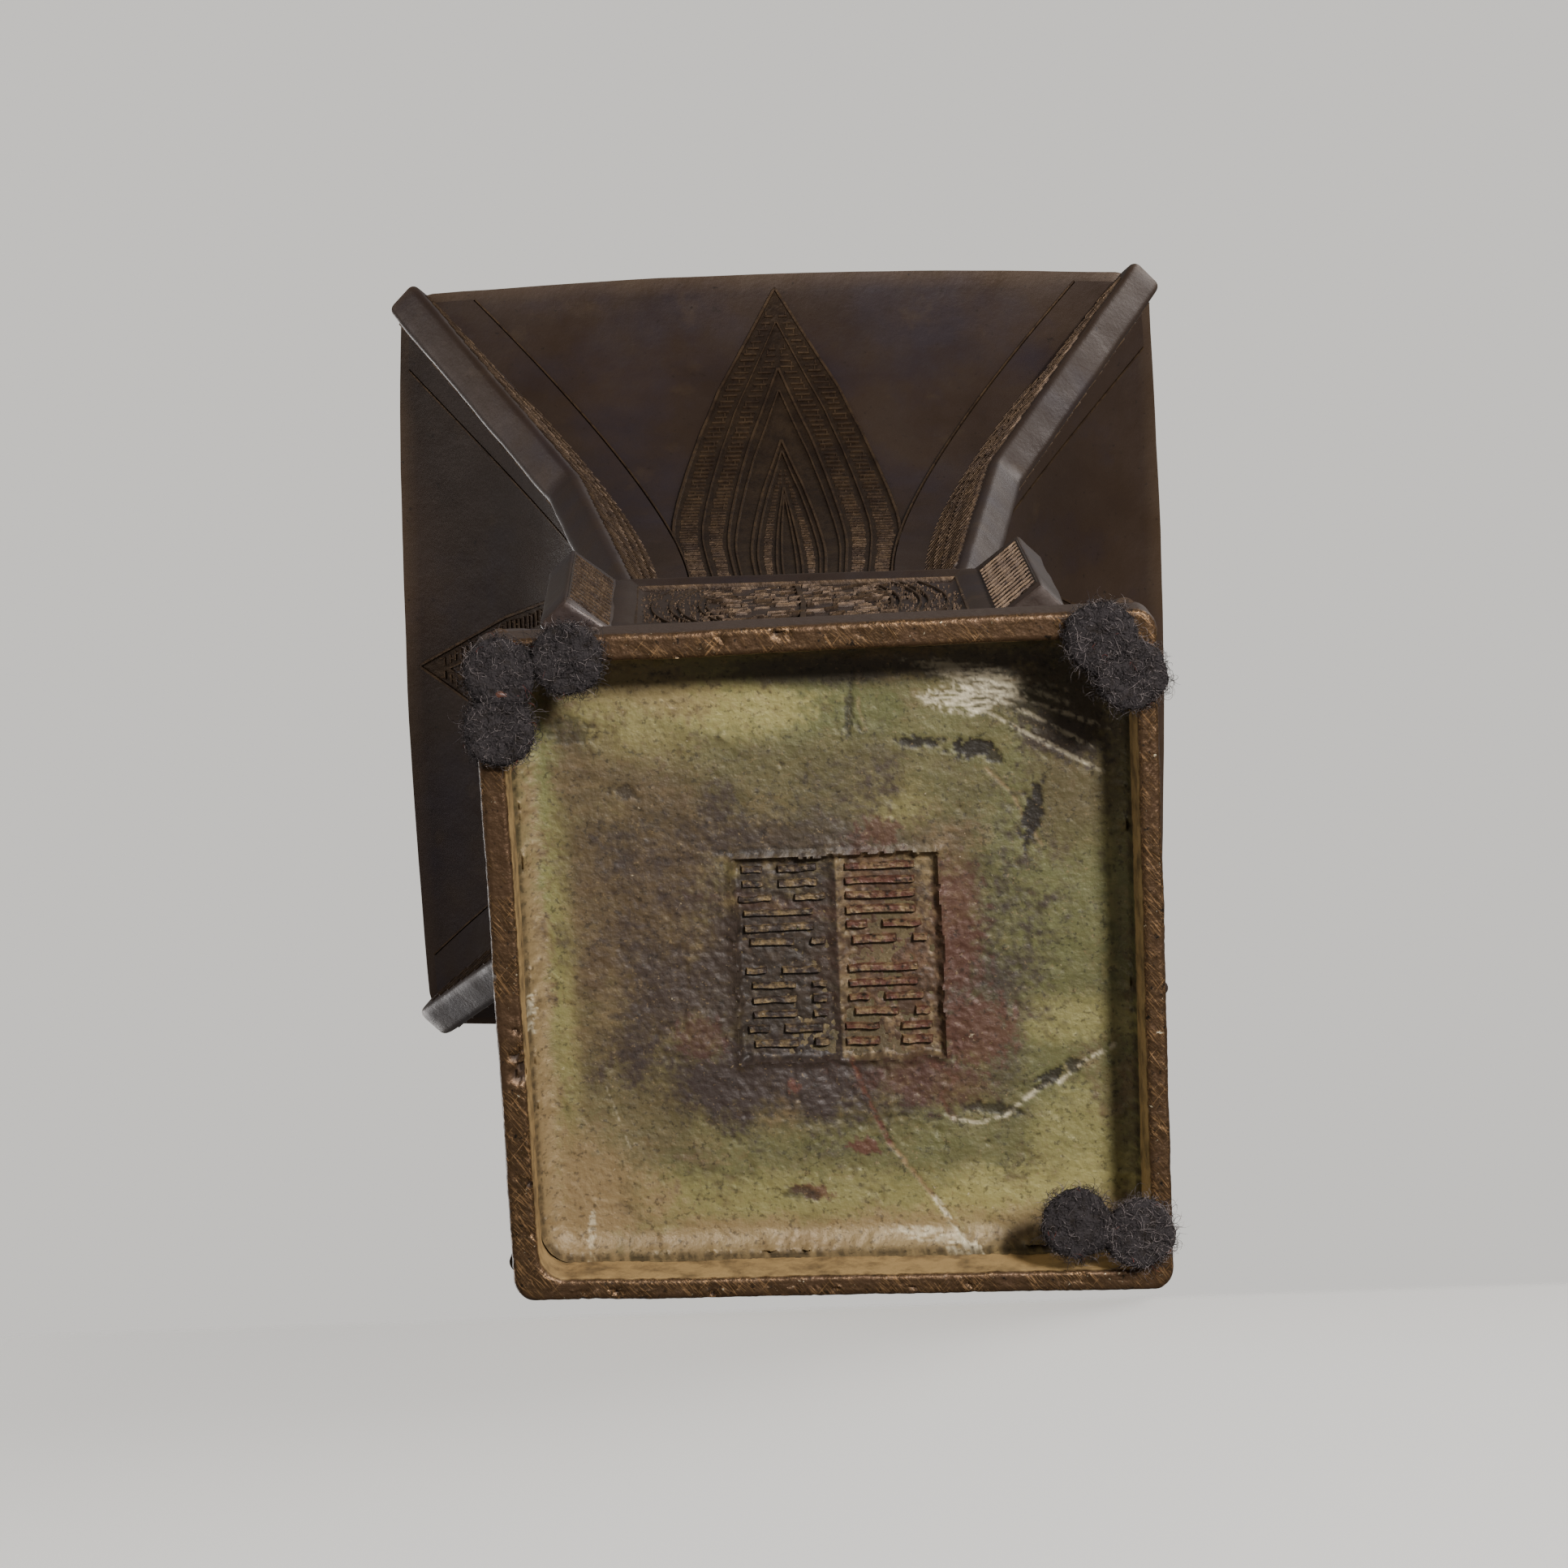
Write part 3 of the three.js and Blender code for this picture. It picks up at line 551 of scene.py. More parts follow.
def bowed(points):
    """The mouth's sides bow out a little between their corners."""
    moved = points.copy()
    level = points[:, 2] - sizes().lift
    for axis, other in ((0, 1), (1, 0)):
        on_side = np.abs(points[:, axis]) > np.abs(points[:, other])
        bow = bow_at(points[:, other], level) * np.sign(points[:, axis])
        moved[:, axis] += np.where(on_side, bow, 0)
    return moved


def set_points(obj, change):
    """Moves a mesh's vertices by a function of their array."""
    mesh = obj.data
    flat = np.empty(len(mesh.vertices) * 3)
    mesh.vertices.foreach_get("co", flat)
    mesh.vertices.foreach_set("co", change(flat.reshape(-1, 3)).ravel())
    mesh.update()


def uneven(obj, strength, grain, seed, low=None):
    """Lets a surface swell and sink a little above a height, as a hand-finished casting does."""
    select_only(obj)
    clouds = bpy.data.textures.new(f"{obj.name}_{seed}", "CLOUDS")
    clouds.noise_scale = grain
    clouds.noise_depth = 3
    modifier = obj.modifiers.new("Uneven", "DISPLACE")
    modifier.texture = clouds
    modifier.texture_coords = "LOCAL"
    modifier.strength = strength
    modifier.mid_level = 0.5
    if low is not None:
        group = obj.vertex_groups.new(name="uneven")
        for vertex in obj.data.vertices:
            group.add([vertex.index], min(1, max(0, (vertex.co.z - low) / 0.006)), "REPLACE")
        modifier.vertex_group = "uneven"
    bpy.ops.object.modifier_apply(modifier="Uneven")


def square_ring(half, z, radius, segments, cuts):
    """Starts a mesh with a square ring of edges with rounded corners, left selected in edit mode."""
    bpy.ops.mesh.primitive_plane_add(size=2 * half, location=(0, 0, 0))
    obj = bpy.context.object
    bpy.ops.object.mode_set(mode="EDIT")
    bpy.ops.transform.translate(value=(0, 0, z))
    bpy.ops.mesh.bevel(offset=radius, segments=segments, affect="VERTICES")
    bpy.ops.mesh.delete(type="ONLY_FACE")
    bpy.ops.object.mode_set(mode="OBJECT")
    places = [v.co.copy() for v in obj.data.vertices]
    for edge in obj.data.edges:
        a, b = edge.vertices
        edge.select = (places[a] - places[b]).length > half
    bpy.ops.object.mode_set(mode="EDIT")
    bpy.ops.mesh.select_mode(type="EDGE")
    bpy.ops.mesh.subdivide(number_cuts=cuts)
    bpy.ops.mesh.select_all(action="SELECT")
    return obj


def grow_rings(line):
    """Extrudes the selected ring through [half width, height] levels, from the first one on."""
    for (half, z), (next_half, next_z) in zip(line, line[1:]):
        move = {"value": (0, 0, next_z - z)}
        bpy.ops.mesh.extrude_edges_move(TRANSFORM_OT_translate=move)
        share = next_half / half
        bpy.ops.transform.resize(value=(share, share, 1), center_override=(0, 0, 0))


def sink_panels(obj, chosen, width, depth):
    """Sinks the faces of a region on each side of the vase behind a sloping border."""
    bpy.ops.object.mode_set(mode="OBJECT")
    for item in (obj.data.vertices, obj.data.edges):
        item.foreach_set("select", [False] * len(item))
    for face in obj.data.polygons:
        face.select = chosen(face.center, face.normal)
    bpy.ops.object.mode_set(mode="EDIT")
    bpy.ops.mesh.select_mode(type="FACE")
    bpy.ops.mesh.inset(thickness=width, depth=-depth)
    bpy.ops.object.mode_set(mode="OBJECT")


class VASE_OT_casting(bpy.types.Operator):
    """Model the hollow casting from foot to lip as one closed skin"""

    bl_idname = "vase.casting"
    bl_label = "Casting"

    def execute(self, context):
        s = sizes()
        select_nothing()
        floor = s.recess + s.plate
        # The skin over the base plate, clear of the recess's fillet: half width and height above the plate
        hidden = [(36.0, 1.9), (39.6, 1.7), (41.7, 0.9), (43.1, -0.3), (43.9, -1.3), (44.6, -2.6)]
        line = [(half * MM, s.recess + up * MM) for half, up in hidden]
        line += foot_line(16)
        line += [
            (s.waist_half, (s.foot_height + s.knop_bottom) / 2),
            (s.waist_half, s.knop_bottom - 0.4 * MM),
            (s.waist_half + 0.5 * MM, s.knop_bottom),
        ]
        # The middle section's rounded edges: in from its side, and up or down from its end
        lower_edge, upper_edge = [(2.1, 0), (0.8, 0.6), (0.1, 1.9)], [(0.1, 1.8), (0.8, 0.5), (2.1, 0)]
        line += [(s.knop_half - back * MM, s.knop_bottom + up * MM) for back, up in lower_edge]
        rows = 20
        low, high = line[-1][1], s.knop_top - upper_edge[0][1] * MM
        line += [(s.knop_half, low + (high - low) * (i + 0.5) / rows) for i in range(rows)]
        line += [(s.knop_half - back * MM, s.knop_top - down * MM) for back, down in upper_edge]
        line += [(s.neck_half + 0.6 * MM, s.knop_top)]
        neck = neck_line(34)
        line += [(s.neck_half, s.knop_top + 0.6 * MM), *neck[1:-1]]
        soft = 0.5 * MM
        line += [
            (s.lip_half, s.height - 0.4 * MM),
            (s.lip_half - soft, s.height),
            (s.lip_half - s.wall + soft, s.height),
            (s.lip_half - s.wall, s.height - soft),
        ]
        line += [(half - s.wall, z) for half, z in reversed(neck[1:-1:2])]
        line += [
            (s.neck_half - s.wall, s.knop_top - s.wall / 2),
            (s.knop_half - s.knop_wall, s.knop_top - s.knop_wall),
            (s.knop_half - s.knop_wall, s.knop_bottom + s.knop_wall),
            (s.waist_half - s.wall, s.knop_bottom + s.wall / 2),
        ]
        inside = [(half - s.wall, z) for half, z in reversed(foot_line(12)) if z > floor + 1 * MM]
        line += inside
        line += [(inside[-1][0] + 0.2 * MM, floor)]
        line = [(half, z + s.lift) for half, z in line]
        obj = square_ring(*line[0], s.corner, 4, 23)
        bpy.ops.mesh.select_all(action="SELECT")
        grow_rings(line)
        bpy.ops.mesh.edge_face_add()
        bpy.ops.mesh.select_all(action="DESELECT")
        bpy.ops.mesh.select_non_manifold()
        bpy.ops.mesh.edge_face_add()
        bpy.ops.mesh.select_all(action="SELECT")
        bpy.ops.mesh.normals_make_consistent(inside=False)

        def on_panel(center, normal):
            level = center.z - s.lift
            across = min(abs(center.x), abs(center.y))
            out = max(abs(center.x), abs(center.y))
            on_side = s.knop_bottom + 5.5 * MM < level < s.knop_top - 3.8 * MM
            return out > s.knop_half - 0.2 * MM and on_side and across < s.panel_half

        sink_panels(obj, on_panel, 2 * MM, s.panel_depth)

        def on_foot_panel(center, normal):
            level = center.z - s.lift
            across = min(abs(center.x), abs(center.y))
            out = max(abs(center.x), abs(center.y))
            facing = (normal.x * center.x + normal.y * center.y) > 0
            margin = s.foot_height - level > 12 * MM and level > 2 * s.band_height
            return margin and facing and across < out - 9 * MM

        sink_panels(obj, on_foot_panel, 1.2 * MM, s.foot_panel_depth)
        uneven(obj, 0.7 * MM, 30 * MM, 1, s.lift + 2 * s.band_height)
        set_points(obj, bowed)
        set_points(obj, skewed)
        obj.data.materials.append(patinated_bronze("patinated_cast_bronze", 0.7))
        shade_smooth(obj, 40)
        make_piece(obj, "vase_casting", "bronze", "vase_body")
        return {"FINISHED"}


class VASE_OT_rim(bpy.types.Operator):
    """Model the filed rim band under the foot with its worn, chipped edges"""

    bl_idname = "vase.rim"
    bl_label = "Foot rim"

    def execute(self, context):
        s = sizes()
        outer = s.foot_half
        inner = s.foot_half - s.rim_width
        section = [
            (outer, s.band_height),
            (outer, 0.0055),
            (outer, 0.003),
            (outer, 0.0012),
            (outer - 0.00008, 0.0005),
            (outer - 0.00025, 0.0002),
            (outer - 0.0006, 0.0),
        ]
        section += [(outer - s.rim_width * share, 0.0) for share in (0.3, 0.42, 0.54, 0.66, 0.76)]
        section += [
            (inner + 0.0005, 0.0),
            (inner + 0.0002, 0.00015),
            (inner, 0.0005),
            (inner - 0.0001, 0.0012),
            (inner - 0.0003, 0.0035),
            (inner - 0.0005, s.recess - s.fillet),
            (inner - 0.0005, s.band_height + 0.0004),
            (s.flare_half - 0.0005, s.band_height),
        ]
        steps = 190
        around = [(quarter, 2 * i / steps - 1) for quarter in QUARTERS for i in range(steps)]
        vertices = []
        inside = []
        for quarter, t in around:
            for half, z in section:
                radius = s.corner if half > inner + 1 * MM else s.corner + 1 * MM
                straight = half - radius
                reach = straight + radius * math.pi / 4
                along = t * reach
                x, y = along, -half
                if abs(along) > straight:
                    angle = (abs(along) - straight) / radius
                    x = math.copysign(straight + radius * math.sin(angle), along)
                    y = -(straight + radius * math.cos(angle))
                turn = Matrix.Rotation(quarter * math.pi / 2, 3, "Z")
                point = turn @ Vector((x, y, z + s.lift))
                if half < outer - 1.5 * MM:
                    point += Vector((*RECESS_SHIFT, 0))
                vertices.append(point)
                inside.append(1.0 if half < inner + 0.1 * MM else 0.0)
        count = len(section)
        faces = []
        for i in range(len(around)):
            here, there = i * count, (i + 1) % len(around) * count
            for j in range(count):
                k = (j + 1) % count
                faces.append((here + j, here + k, there + k, there + j))
        obj = mesh_object("rim", vertices, faces, filed_bronze(), {"inside": inside})

        def worn(points):
            moved = skewed(points)
            for p in moved:
                level = p[2] - s.lift
                if level > s.band_height - 0.001:
                    continue
                at = Vector(p)
                wave = noise.fractal(at * 70, 1.0, 2.0, 3) * 0.00016
                rough = noise.fractal(at * 900 + Vector((5, 1, 3)), 0.7, 2.0, 5) * 0.00007
                axis = 0 if abs(p[0]) > abs(p[1]) else 1
                p[axis] += math.copysign(1, p[axis]) * (wave + rough)
                if level > 0.0012:
                    continue
                p[2] += max(0.0, 0.00006 + 0.00006 * noise.fractal(at * 1500, 0.7, 2.0, 3))
                chip = noise.fractal(at * 520 + Vector((9, 4, 2)), 0.9, 2.0, 3)
                left = p[0] < -0.040 and p[1] > 0.008
                bottom = p[1] > 0.042 and p[0] < -0.010
                limit = 0.35 if left or bottom else 0.62
                middle = s.foot_half - s.rim_width / 2
                off = abs(max(abs(p[0]), abs(p[1])) - middle) / (s.rim_width / 2)
                if chip > limit:
                    p[2] += min(0.0009, (chip - limit) * 0.0022) * min(1.0, max(0.0, off - 0.3) * 2)
            return moved

        set_points(obj, worn)
        shade_smooth(obj, 40)
        make_piece(obj, "vase_foot_rim", "bronze", "vase_body")
        return {"FINISHED"}


# Lines on the base plate, in metres: a casting crack, file scratches and flaked edges, with their
# width and strength
FINE_LINES = [
    ("rust", [(0.0026, 0.0159), (0.0040, 0.0200), (0.0052, 0.0230), (0.0076, 0.0281)], 0.00036, 1.0),
    ("tan", [(0.0076, 0.0281), (0.0105, 0.0320), (0.0138, 0.0362)], 0.00033, 1.0),
    ("scraped", [(0.0138, 0.0362), (0.0172, 0.0415), (0.0183, 0.0435)], 0.00033, 1.0),
    ("rust", [(0.0170, 0.0248), (0.0150, 0.0215), (0.0176, 0.0190), (0.0140, 0.0168)], 0.00045, 0.8),
    ("scraped", [(0.0170, 0.0248), (0.0205, 0.0255), (0.0246, 0.0245)], 0.00030, 0.6),
    ("scraped", [(0.0246, 0.0245), (0.0280, 0.0218), (0.0318, 0.0193)], 0.00030, 0.7),
    ("scraped", [(0.0325, 0.0200), (0.0360, 0.0170), (0.0406, 0.0148)], 0.00030, 0.7),
    ("scraped", [(0.0205, -0.0370), (0.0300, -0.0325), (0.0385, -0.0275)], 0.00026, 0.6),
    ("scraped", [(0.0215, -0.0345), (0.0290, -0.0300), (0.0400, -0.0240)], 0.00024, 0.5),
    ("scraped", [(0.0180, -0.0385), (0.0320, -0.0335), (0.0410, -0.0300)], 0.00024, 0.5),
    ("scraped", [(0.0240, -0.0330), (0.0300, -0.0295), (0.0375, -0.0255)], 0.00022, 0.5),
    ("scraped", [(0.0185, -0.0395), (0.0290, -0.0362), (0.0360, -0.0335)], 0.00030, 0.45),
    ("tan", [(0.0235, -0.0250), (0.0270, -0.0215), (0.0285, -0.0180), (0.0310, -0.0140)], 0.00030, 0.7),
    ("scraped", [(-0.0330, 0.0190), (-0.0300, 0.0280)], 0.00012, 0.3),
    ("tan", [(-0.0200, 0.0300), (0.0020, 0.0330)], 0.00012, 0.4),
    ("tan", [(-0.0100, -0.0225), (0.0060, -0.0210)], 0.00012, 0.4),
    ("dirt", [(0.0052, -0.0400), (0.0042, -0.0345), (0.0058, -0.0310)], 0.00030, 0.6),
    ("tan", [(0.0062, -0.0395), (0.0056, -0.0345), (0.0066, -0.0312)], 0.00022, 0.5),
]


def line_distance(x, y, points):
    """Distance of grid points to a broken line."""
    best = np.full(x.shape, 1.0)
    for (ax, ay), (bx, by) in zip(points, points[1:]):
        dx, dy = bx - ax, by - ay
        t = np.clip(((x - ax) * dx + (y - ay) * dy) / (dx * dx + dy * dy), 0, 1)
        best = np.minimum(best, np.hypot(x - ax - t * dx, y - ay - t * dy))
    return best


def rough_field(x, y, grain, seed):
    """Fractal noise at points, from about -1 to 1."""
    flat = [
        noise.fractal(Vector((a / grain, b / grain, seed)), 0.8, 2.0, 5)
        for a, b in zip(x.tolist(), y.tolist())
    ]
    return np.array(flat)


def film_strength(x, y, patches, broad, fine):
    """How strongly a film's patches cover each point: their edges broken by the noise fields."""
    total = np.zeros(x.shape)
    for (cx, cy), (rx, ry), turn, strength in patches:
        c, s = math.cos(turn), math.sin(turn)
        u = (c * (x - cx) + s * (y - cy)) / rx
        v = (c * (y - cy) - s * (x - cx)) / ry
        small = min(1.0, max(rx, ry) / 0.012)
        far = np.hypot(u, v) + 0.55 * small * broad + (0.75 - 0.35 * small) * fine
        soft = 0.35 * small + 0.12
        share = np.clip((1.0 + soft - far) / (2 * soft), 0, 1)
        total = np.maximum(total, strength * share * share * (3 - 2 * share))
    return total


class VASE_OT_base(bpy.types.Operator):
    """Model the underside of the base plate: fillet, rough cast skin, sunk mark, crack and flakes"""

    bl_idname = "vase.base"
    bl_label = "Base plate"

    def execute(self, context):
        s = sizes()
        select_nothing()
        half = s.foot_half - s.rim_width - 0.00042
        cells = 300
        bpy.ops.mesh.primitive_grid_add(x_subdivisions=cells, y_subdivisions=cells, size=2 * half)
        obj = bpy.context.object
        mesh = obj.data
        flat = np.empty(len(mesh.vertices) * 3)
        mesh.vertices.foreach_get("co", flat)
        x, y = flat[0::3].copy(), flat[1::3].copy()
        corner = 0.005
        qx, qy = np.abs(x) - (half - corner), np.abs(y) - (half - corner)
        shrink = np.maximum(qx, qy) / np.maximum(np.hypot(qx, qy), 1e-9)
        rounded = (qx > 0) & (qy > 0)
        x = np.where(rounded, np.sign(x) * (half - corner + qx * shrink), x)
        y = np.where(rounded, np.sign(y) * (half - corner + qy * shrink), y)
        z = self.skin(s, x, y, corner - np.maximum(qx, qy))
        broad, mid = rough_field(x, y, 0.011, 17), rough_field(x, y, 0.0030, 23)
        fine = rough_field(x, y, 0.0010, 29)
        films = {name: film_strength(x, y, FILMS[name], broad + 0.5 * mid, fine) for name in FILMS}
        edge = corner - np.maximum(qx, qy)
        crevice = np.clip(1.3 - np.abs(edge - 0.0003) / 0.0005, 0, 1) * np.clip(0.7 + fine, 0, 1)
        films["dirt"] = np.maximum(films["dirt"], 0.7 * crevice)
        bloom = np.clip(1.2 - np.abs(edge - 0.0035 - 0.0010 * broad) / 0.0012, 0, 1)
        films["yellow"] = np.maximum(films["yellow"], 0.45 * bloom * np.clip(0.5 + mid + fine, 0, 1))
        streaks = rough_field(0.16 * x + 0.6 * y, y - 0.12 * x, 0.00055, 31)
        films["scraped"] *= np.clip(0.75 + 1.9 * streaks, 0, 1)
        for film, line, width, strength in FINE_LINES:
            far = line_distance(x, y, line) + 0.00018 * mid
            shown = strength * np.clip(1.5 - far / width, 0, 1) * np.clip(0.95 + 2.4 * fine, 0, 1)
            films[film] = np.maximum(films[film], shown)
            z += 0.00010 * shown
        z += 0.00020 * films["dirt"] + 0.00008 * films["scraped"]
        in_mark = self.in_mark(s, x, y) > 0
        crust = np.clip(0.35 + 1.3 * mid + 1.2 * fine, 0, 1) * in_mark
        right = x > MARK_SHIFT[0]
        films["tan"] = np.maximum(films["tan"], (0.5 + 0.3 * crust) * in_mark * right)
        films["dirt"] = np.maximum(films["dirt"], 0.5 * (1 - crust) * in_mark)
        films["purple"] = np.where(in_mark & right, 0.3 * films["purple"], films["purple"])
        points = np.stack([x + RECESS_SHIFT[0], y + RECESS_SHIFT[1], z + s.lift], axis=1)
        mesh.vertices.foreach_set("co", skewed(points).ravel())
        for key, numbers in films.items():
            layer = mesh.attributes.new(key, "FLOAT", "POINT")
            layer.data.foreach_set("value", numbers.astype(np.float32))
        bpy.ops.object.mode_set(mode="EDIT")
        bpy.ops.mesh.select_mode(type="EDGE")
        bpy.ops.mesh.select_all(action="DESELECT")
        bpy.ops.mesh.select_non_manifold()
        for grow, up in ((1.0, 0.0014), (0.975, 0.0020), (0.960, 0.0016)):
            bpy.ops.mesh.extrude_edges_move(TRANSFORM_OT_translate={"value": (0, 0, up)})
            bpy.ops.transform.resize(value=(grow, grow, 1), center_override=(0, 0, 0))
        bpy.ops.mesh.edge_face_add()
        bpy.ops.mesh.select_all(action="SELECT")
        bpy.ops.mesh.normals_make_consistent(inside=False)
        bpy.ops.object.mode_set(mode="OBJECT")
        mesh.materials.append(green_patina())
        shade_smooth(obj, 60)
        make_piece(obj, "vase_base_plate", "bronze", "vase_body")
        return {"FINISHED"}

    def in_mark(self, s, x, y):
        """How far points lie inside the sunk square, below 0 outside it."""
        wobble = 0.0005 * rough_field(x, y, 0.003, 11)
        return s.mark / 2 + wobble - np.maximum(np.abs(x - MARK_SHIFT[0]), np.abs(y - MARK_SHIFT[1]))

    def skin(self, s, x, y, in_by):
        """Heights of the plate's rough underside above the rim."""
        crusty = 0.0007 * rough_field(x, y, 0.0045, 41) + 0.0003 * rough_field(x, y, 0.0012, 43)
        rise = np.clip((in_by + np.minimum(crusty, 0.0) * (in_by > 0.0008)) / s.fillet, 0, 1)
        z = s.recess - s.fillet + s.fillet * np.sqrt(np.clip(1 - (1 - rise) ** 2, 0, None))
        inner = np.clip(in_by / 0.006, 0, 1)
        z += inner * 0.00040 * rough_field(x, y, 0.022, 3)
        halo = np.exp(-(((x / 0.024) ** 2 + ((y - 0.004) / 0.019) ** 2) ** 2))
        z += inner * (0.00003 + 0.00007 * halo) * rough_field(x, y, 0.0016, 7)
        z += inner * (0.00004 + 0.00012 * halo) * rough_field(x, y, 0.0007, 8)
        rng = np.random.default_rng(5)
        for i in range(1500):
            if i % 2:
                cx, cy = rng.normal(0.001, 0.015), rng.normal(0.009, 0.013)
            else:
                cx, cy = rng.uniform(-0.042, 0.042, 2)
            radius = rng.uniform(0.00025, 0.00055)
            near = np.abs(x - cx) + np.abs(y - cy) < 3 * radius
            far = np.hypot(x[near] - cx, y[near] - cy)
            depth = rng.uniform(0.00006, 0.00022) * (1.0 if i % 2 else 0.5)
            z[near] += depth * np.exp(-((far / radius) ** 2)) * (-1 if i % 4 == 0 else 1)
        inside = self.in_mark(s, x, y)
        z += 0.0009 * np.clip(inside / 0.0006, 0, 1)
        z -= 0.0005 * np.exp(-((inside / 0.0007) ** 2)) * (inside < 0)
        fold = np.clip(1 - np.abs(x - MARK_SHIFT[0]) / (1.1 * MM), 0, 1)
        z -= 0.0005 * fold * (inside > 0)
        return z


def face_map():
    """Tables that turn a way up the neck's curve into height, half width and slope."""
    line = np.array(neck_line(400))
    steps = np.hypot(np.diff(line[:, 0]), np.diff(line[:, 1]))
    way = np.concatenate([[0], np.cumsum(steps)])
    return way, line[:, 1], line[:, 0]


def neck_place(across, way, out, quarter):
    """Points on a neck face: across it, up along its curve, and out from it."""
    table, heights, halves = face_map()
    z = np.interp(way, table, heights)
    half = np.interp(way, table, halves)
    slope = np.interp(way, table, np.gradient(halves, heights))
    scale = 1 / np.sqrt(1 + slope**2)
    half = half + bow_at(across, z)
    points = np.stack([across, -(half + out * scale), z - out * slope * scale + sizes().lift], 1)
    return turned(points, quarter)


def turned(points, quarter):
    c, s = [(1, 0), (0, 1), (-1, 0), (0, -1)][quarter]
    x, y, z = points.T
    return np.stack([c * x - s * y, s * x + c * y, z], 1)


def on_neck(bands):
    """The same bands on each of the neck's four faces."""
    return [(bands, partial(neck_place, quarter=quarter)) for quarter in QUARTERS]


def on_corner(quarter, reach, off, height):
    """Points at a corner: out along its diagonal, off to one side of it, and up from the rim."""
    angle = math.pi / 4 + quarter * math.pi / 2
    c, s = math.cos(angle), math.sin(angle)
    return np.stack([c * reach - s * off, s * reach + c * off, height + sizes().lift], 1)


def ribbon_arrays(bands, place, sunk=0.0003, slope=0.22):
    """Closed low ridges from (left points, right points, height) bands, set on a surface."""
    vertices, faces, tops = [], [], []
    for left, right, height in bands:
        left, right = np.asarray(left, float), np.asarray(right, float)
        width = np.linalg.norm(right - left, axis=1)
        inset = np.minimum(slope, 0.25 * np.max(width) / MM) * MM / np.maximum(width, 1e-6)
        inset = np.minimum(inset, 0.45)[:, None]
        top_left = left + (right - left) * inset
        top_right = right + (left - right) * inset
        rings = [left, top_left, top_right, right]
        ends = ((0, 1), (-1, -2))
        for at, towards in ends:
            for ring in (top_left, top_right):
                step = ring[towards] - ring[at]
                far = np.linalg.norm(step)
                ring[at] += step / max(far, 1e-9) * min(0.3 * MM * slope / 0.22, 0.3 * far)
        start = sum(len(v) for v in vertices)
        count = len(left)
        flat = np.concatenate(rings)
        out = np.concatenate([np.full(count, -sunk), np.full(2 * count, height), np.full(count, -sunk)])
        vertices.append(place(flat[:, 0], flat[:, 1], out))
        shown = min(1.0, height / (0.9 * sizes().relief))
        tops.append(np.concatenate([np.zeros(count), np.full(2 * count, shown), np.zeros(count)]))
        for i in range(count - 1):
            for row in range(4):
                a = start + row * count + i
                b = start + ((row + 1) % 4) * count + i
                faces.append((a, a + 1, b + 1, b))
        first = [start + row * count for row in range(4)]
        faces.append(tuple(first))
        faces.append(tuple(reversed([v + count - 1 for v in first])))
    return np.concatenate(vertices), faces, np.concatenate(tops)


def relief_piece(name, sets, material, *nodes):
    """One piece from several sets of (bands, place)."""
    vertices, faces, tops = [], [], []
    start = 0
    for bands, place in sets:
        points, quads, top = ribbon_arrays(bands, place)
        vertices.append(points)
        faces += [tuple(v + start for v in quad) for quad in quads]
        tops.append(top)
        start += len(points)
    values = {"relief_top": np.concatenate(tops)}
    obj = mesh_object(name, np.concatenate(vertices), faces, material, values)
    select_only(obj)
    bpy.ops.object.mode_set(mode="EDIT")
    bpy.ops.mesh.select_all(action="SELECT")
    bpy.ops.mesh.normals_make_consistent(inside=False)
    bpy.ops.object.mode_set(mode="OBJECT")
    shade_smooth(obj, 30)
    return make_piece(obj, name, "bronze", *nodes)


def stroke(x, y, dx, dy, width, height):
    """A short straight ridge centred on a point, as a band."""
    far = math.hypot(dx, dy)
    nx, ny = -dy / far * width / 2, dx / far * width / 2
    start = (x - dx / 2, y - dy / 2)
    end = (x + dx / 2, y + dy / 2)
    left = [(start[0] + nx, start[1] + ny), (end[0] + nx, end[1] + ny)]
    right = [(start[0] - nx, start[1] - ny), (end[0] - nx, end[1] - ny)]
    return left, right, height


def ridge(points, width, height):
    """A ridge of even width along a line of points, as a band."""
    points = np.asarray(points, float)
    along = np.gradient(points, axis=0)
    along /= np.maximum(np.linalg.norm(along, axis=1), 1e-9)[:, None]
    side = np.stack([-along[:, 1], along[:, 0]], 1) * width / 2
    return points + side, points - side, height


def way_at(z):
    """The way up the neck's curve to a height above the rim."""
    table, heights, _ = face_map()
    return float(np.interp(z, heights, table))


def leaf_halves():
    """The leaf's outline: way down from its tip, and half width."""
    leaf_tip = sizes().leaf_tip
    tip = way_at(leaf_tip)
    outline = [(leaf_tip, 0.0), (0.272, 2.4), (0.268, 5.8), (0.260, 11.6), (0.250, 15.8), (0.241, 18.3)]
    outline += [(0.231, 20.2), (0.221, 21.3), (0.212, 21.4), (0.194, 20.0), (0.165, 17.6), (0.1385, 16.0)]
    return [tip - way_at(z) for z, _ in outline], [half * MM for _, half in outline]


def leaf_line(tip_z, share, stretch, count=40):
    """Half widths of a leaf nested in the big one, from the knop's top up to its tip."""
    down, halves = leaf_halves()
    tip = way_at(tip_z)
    way = np.linspace(0.0003, tip, count)
    half = np.interp((tip - way) / stretch, down, halves) * share
    return way, half


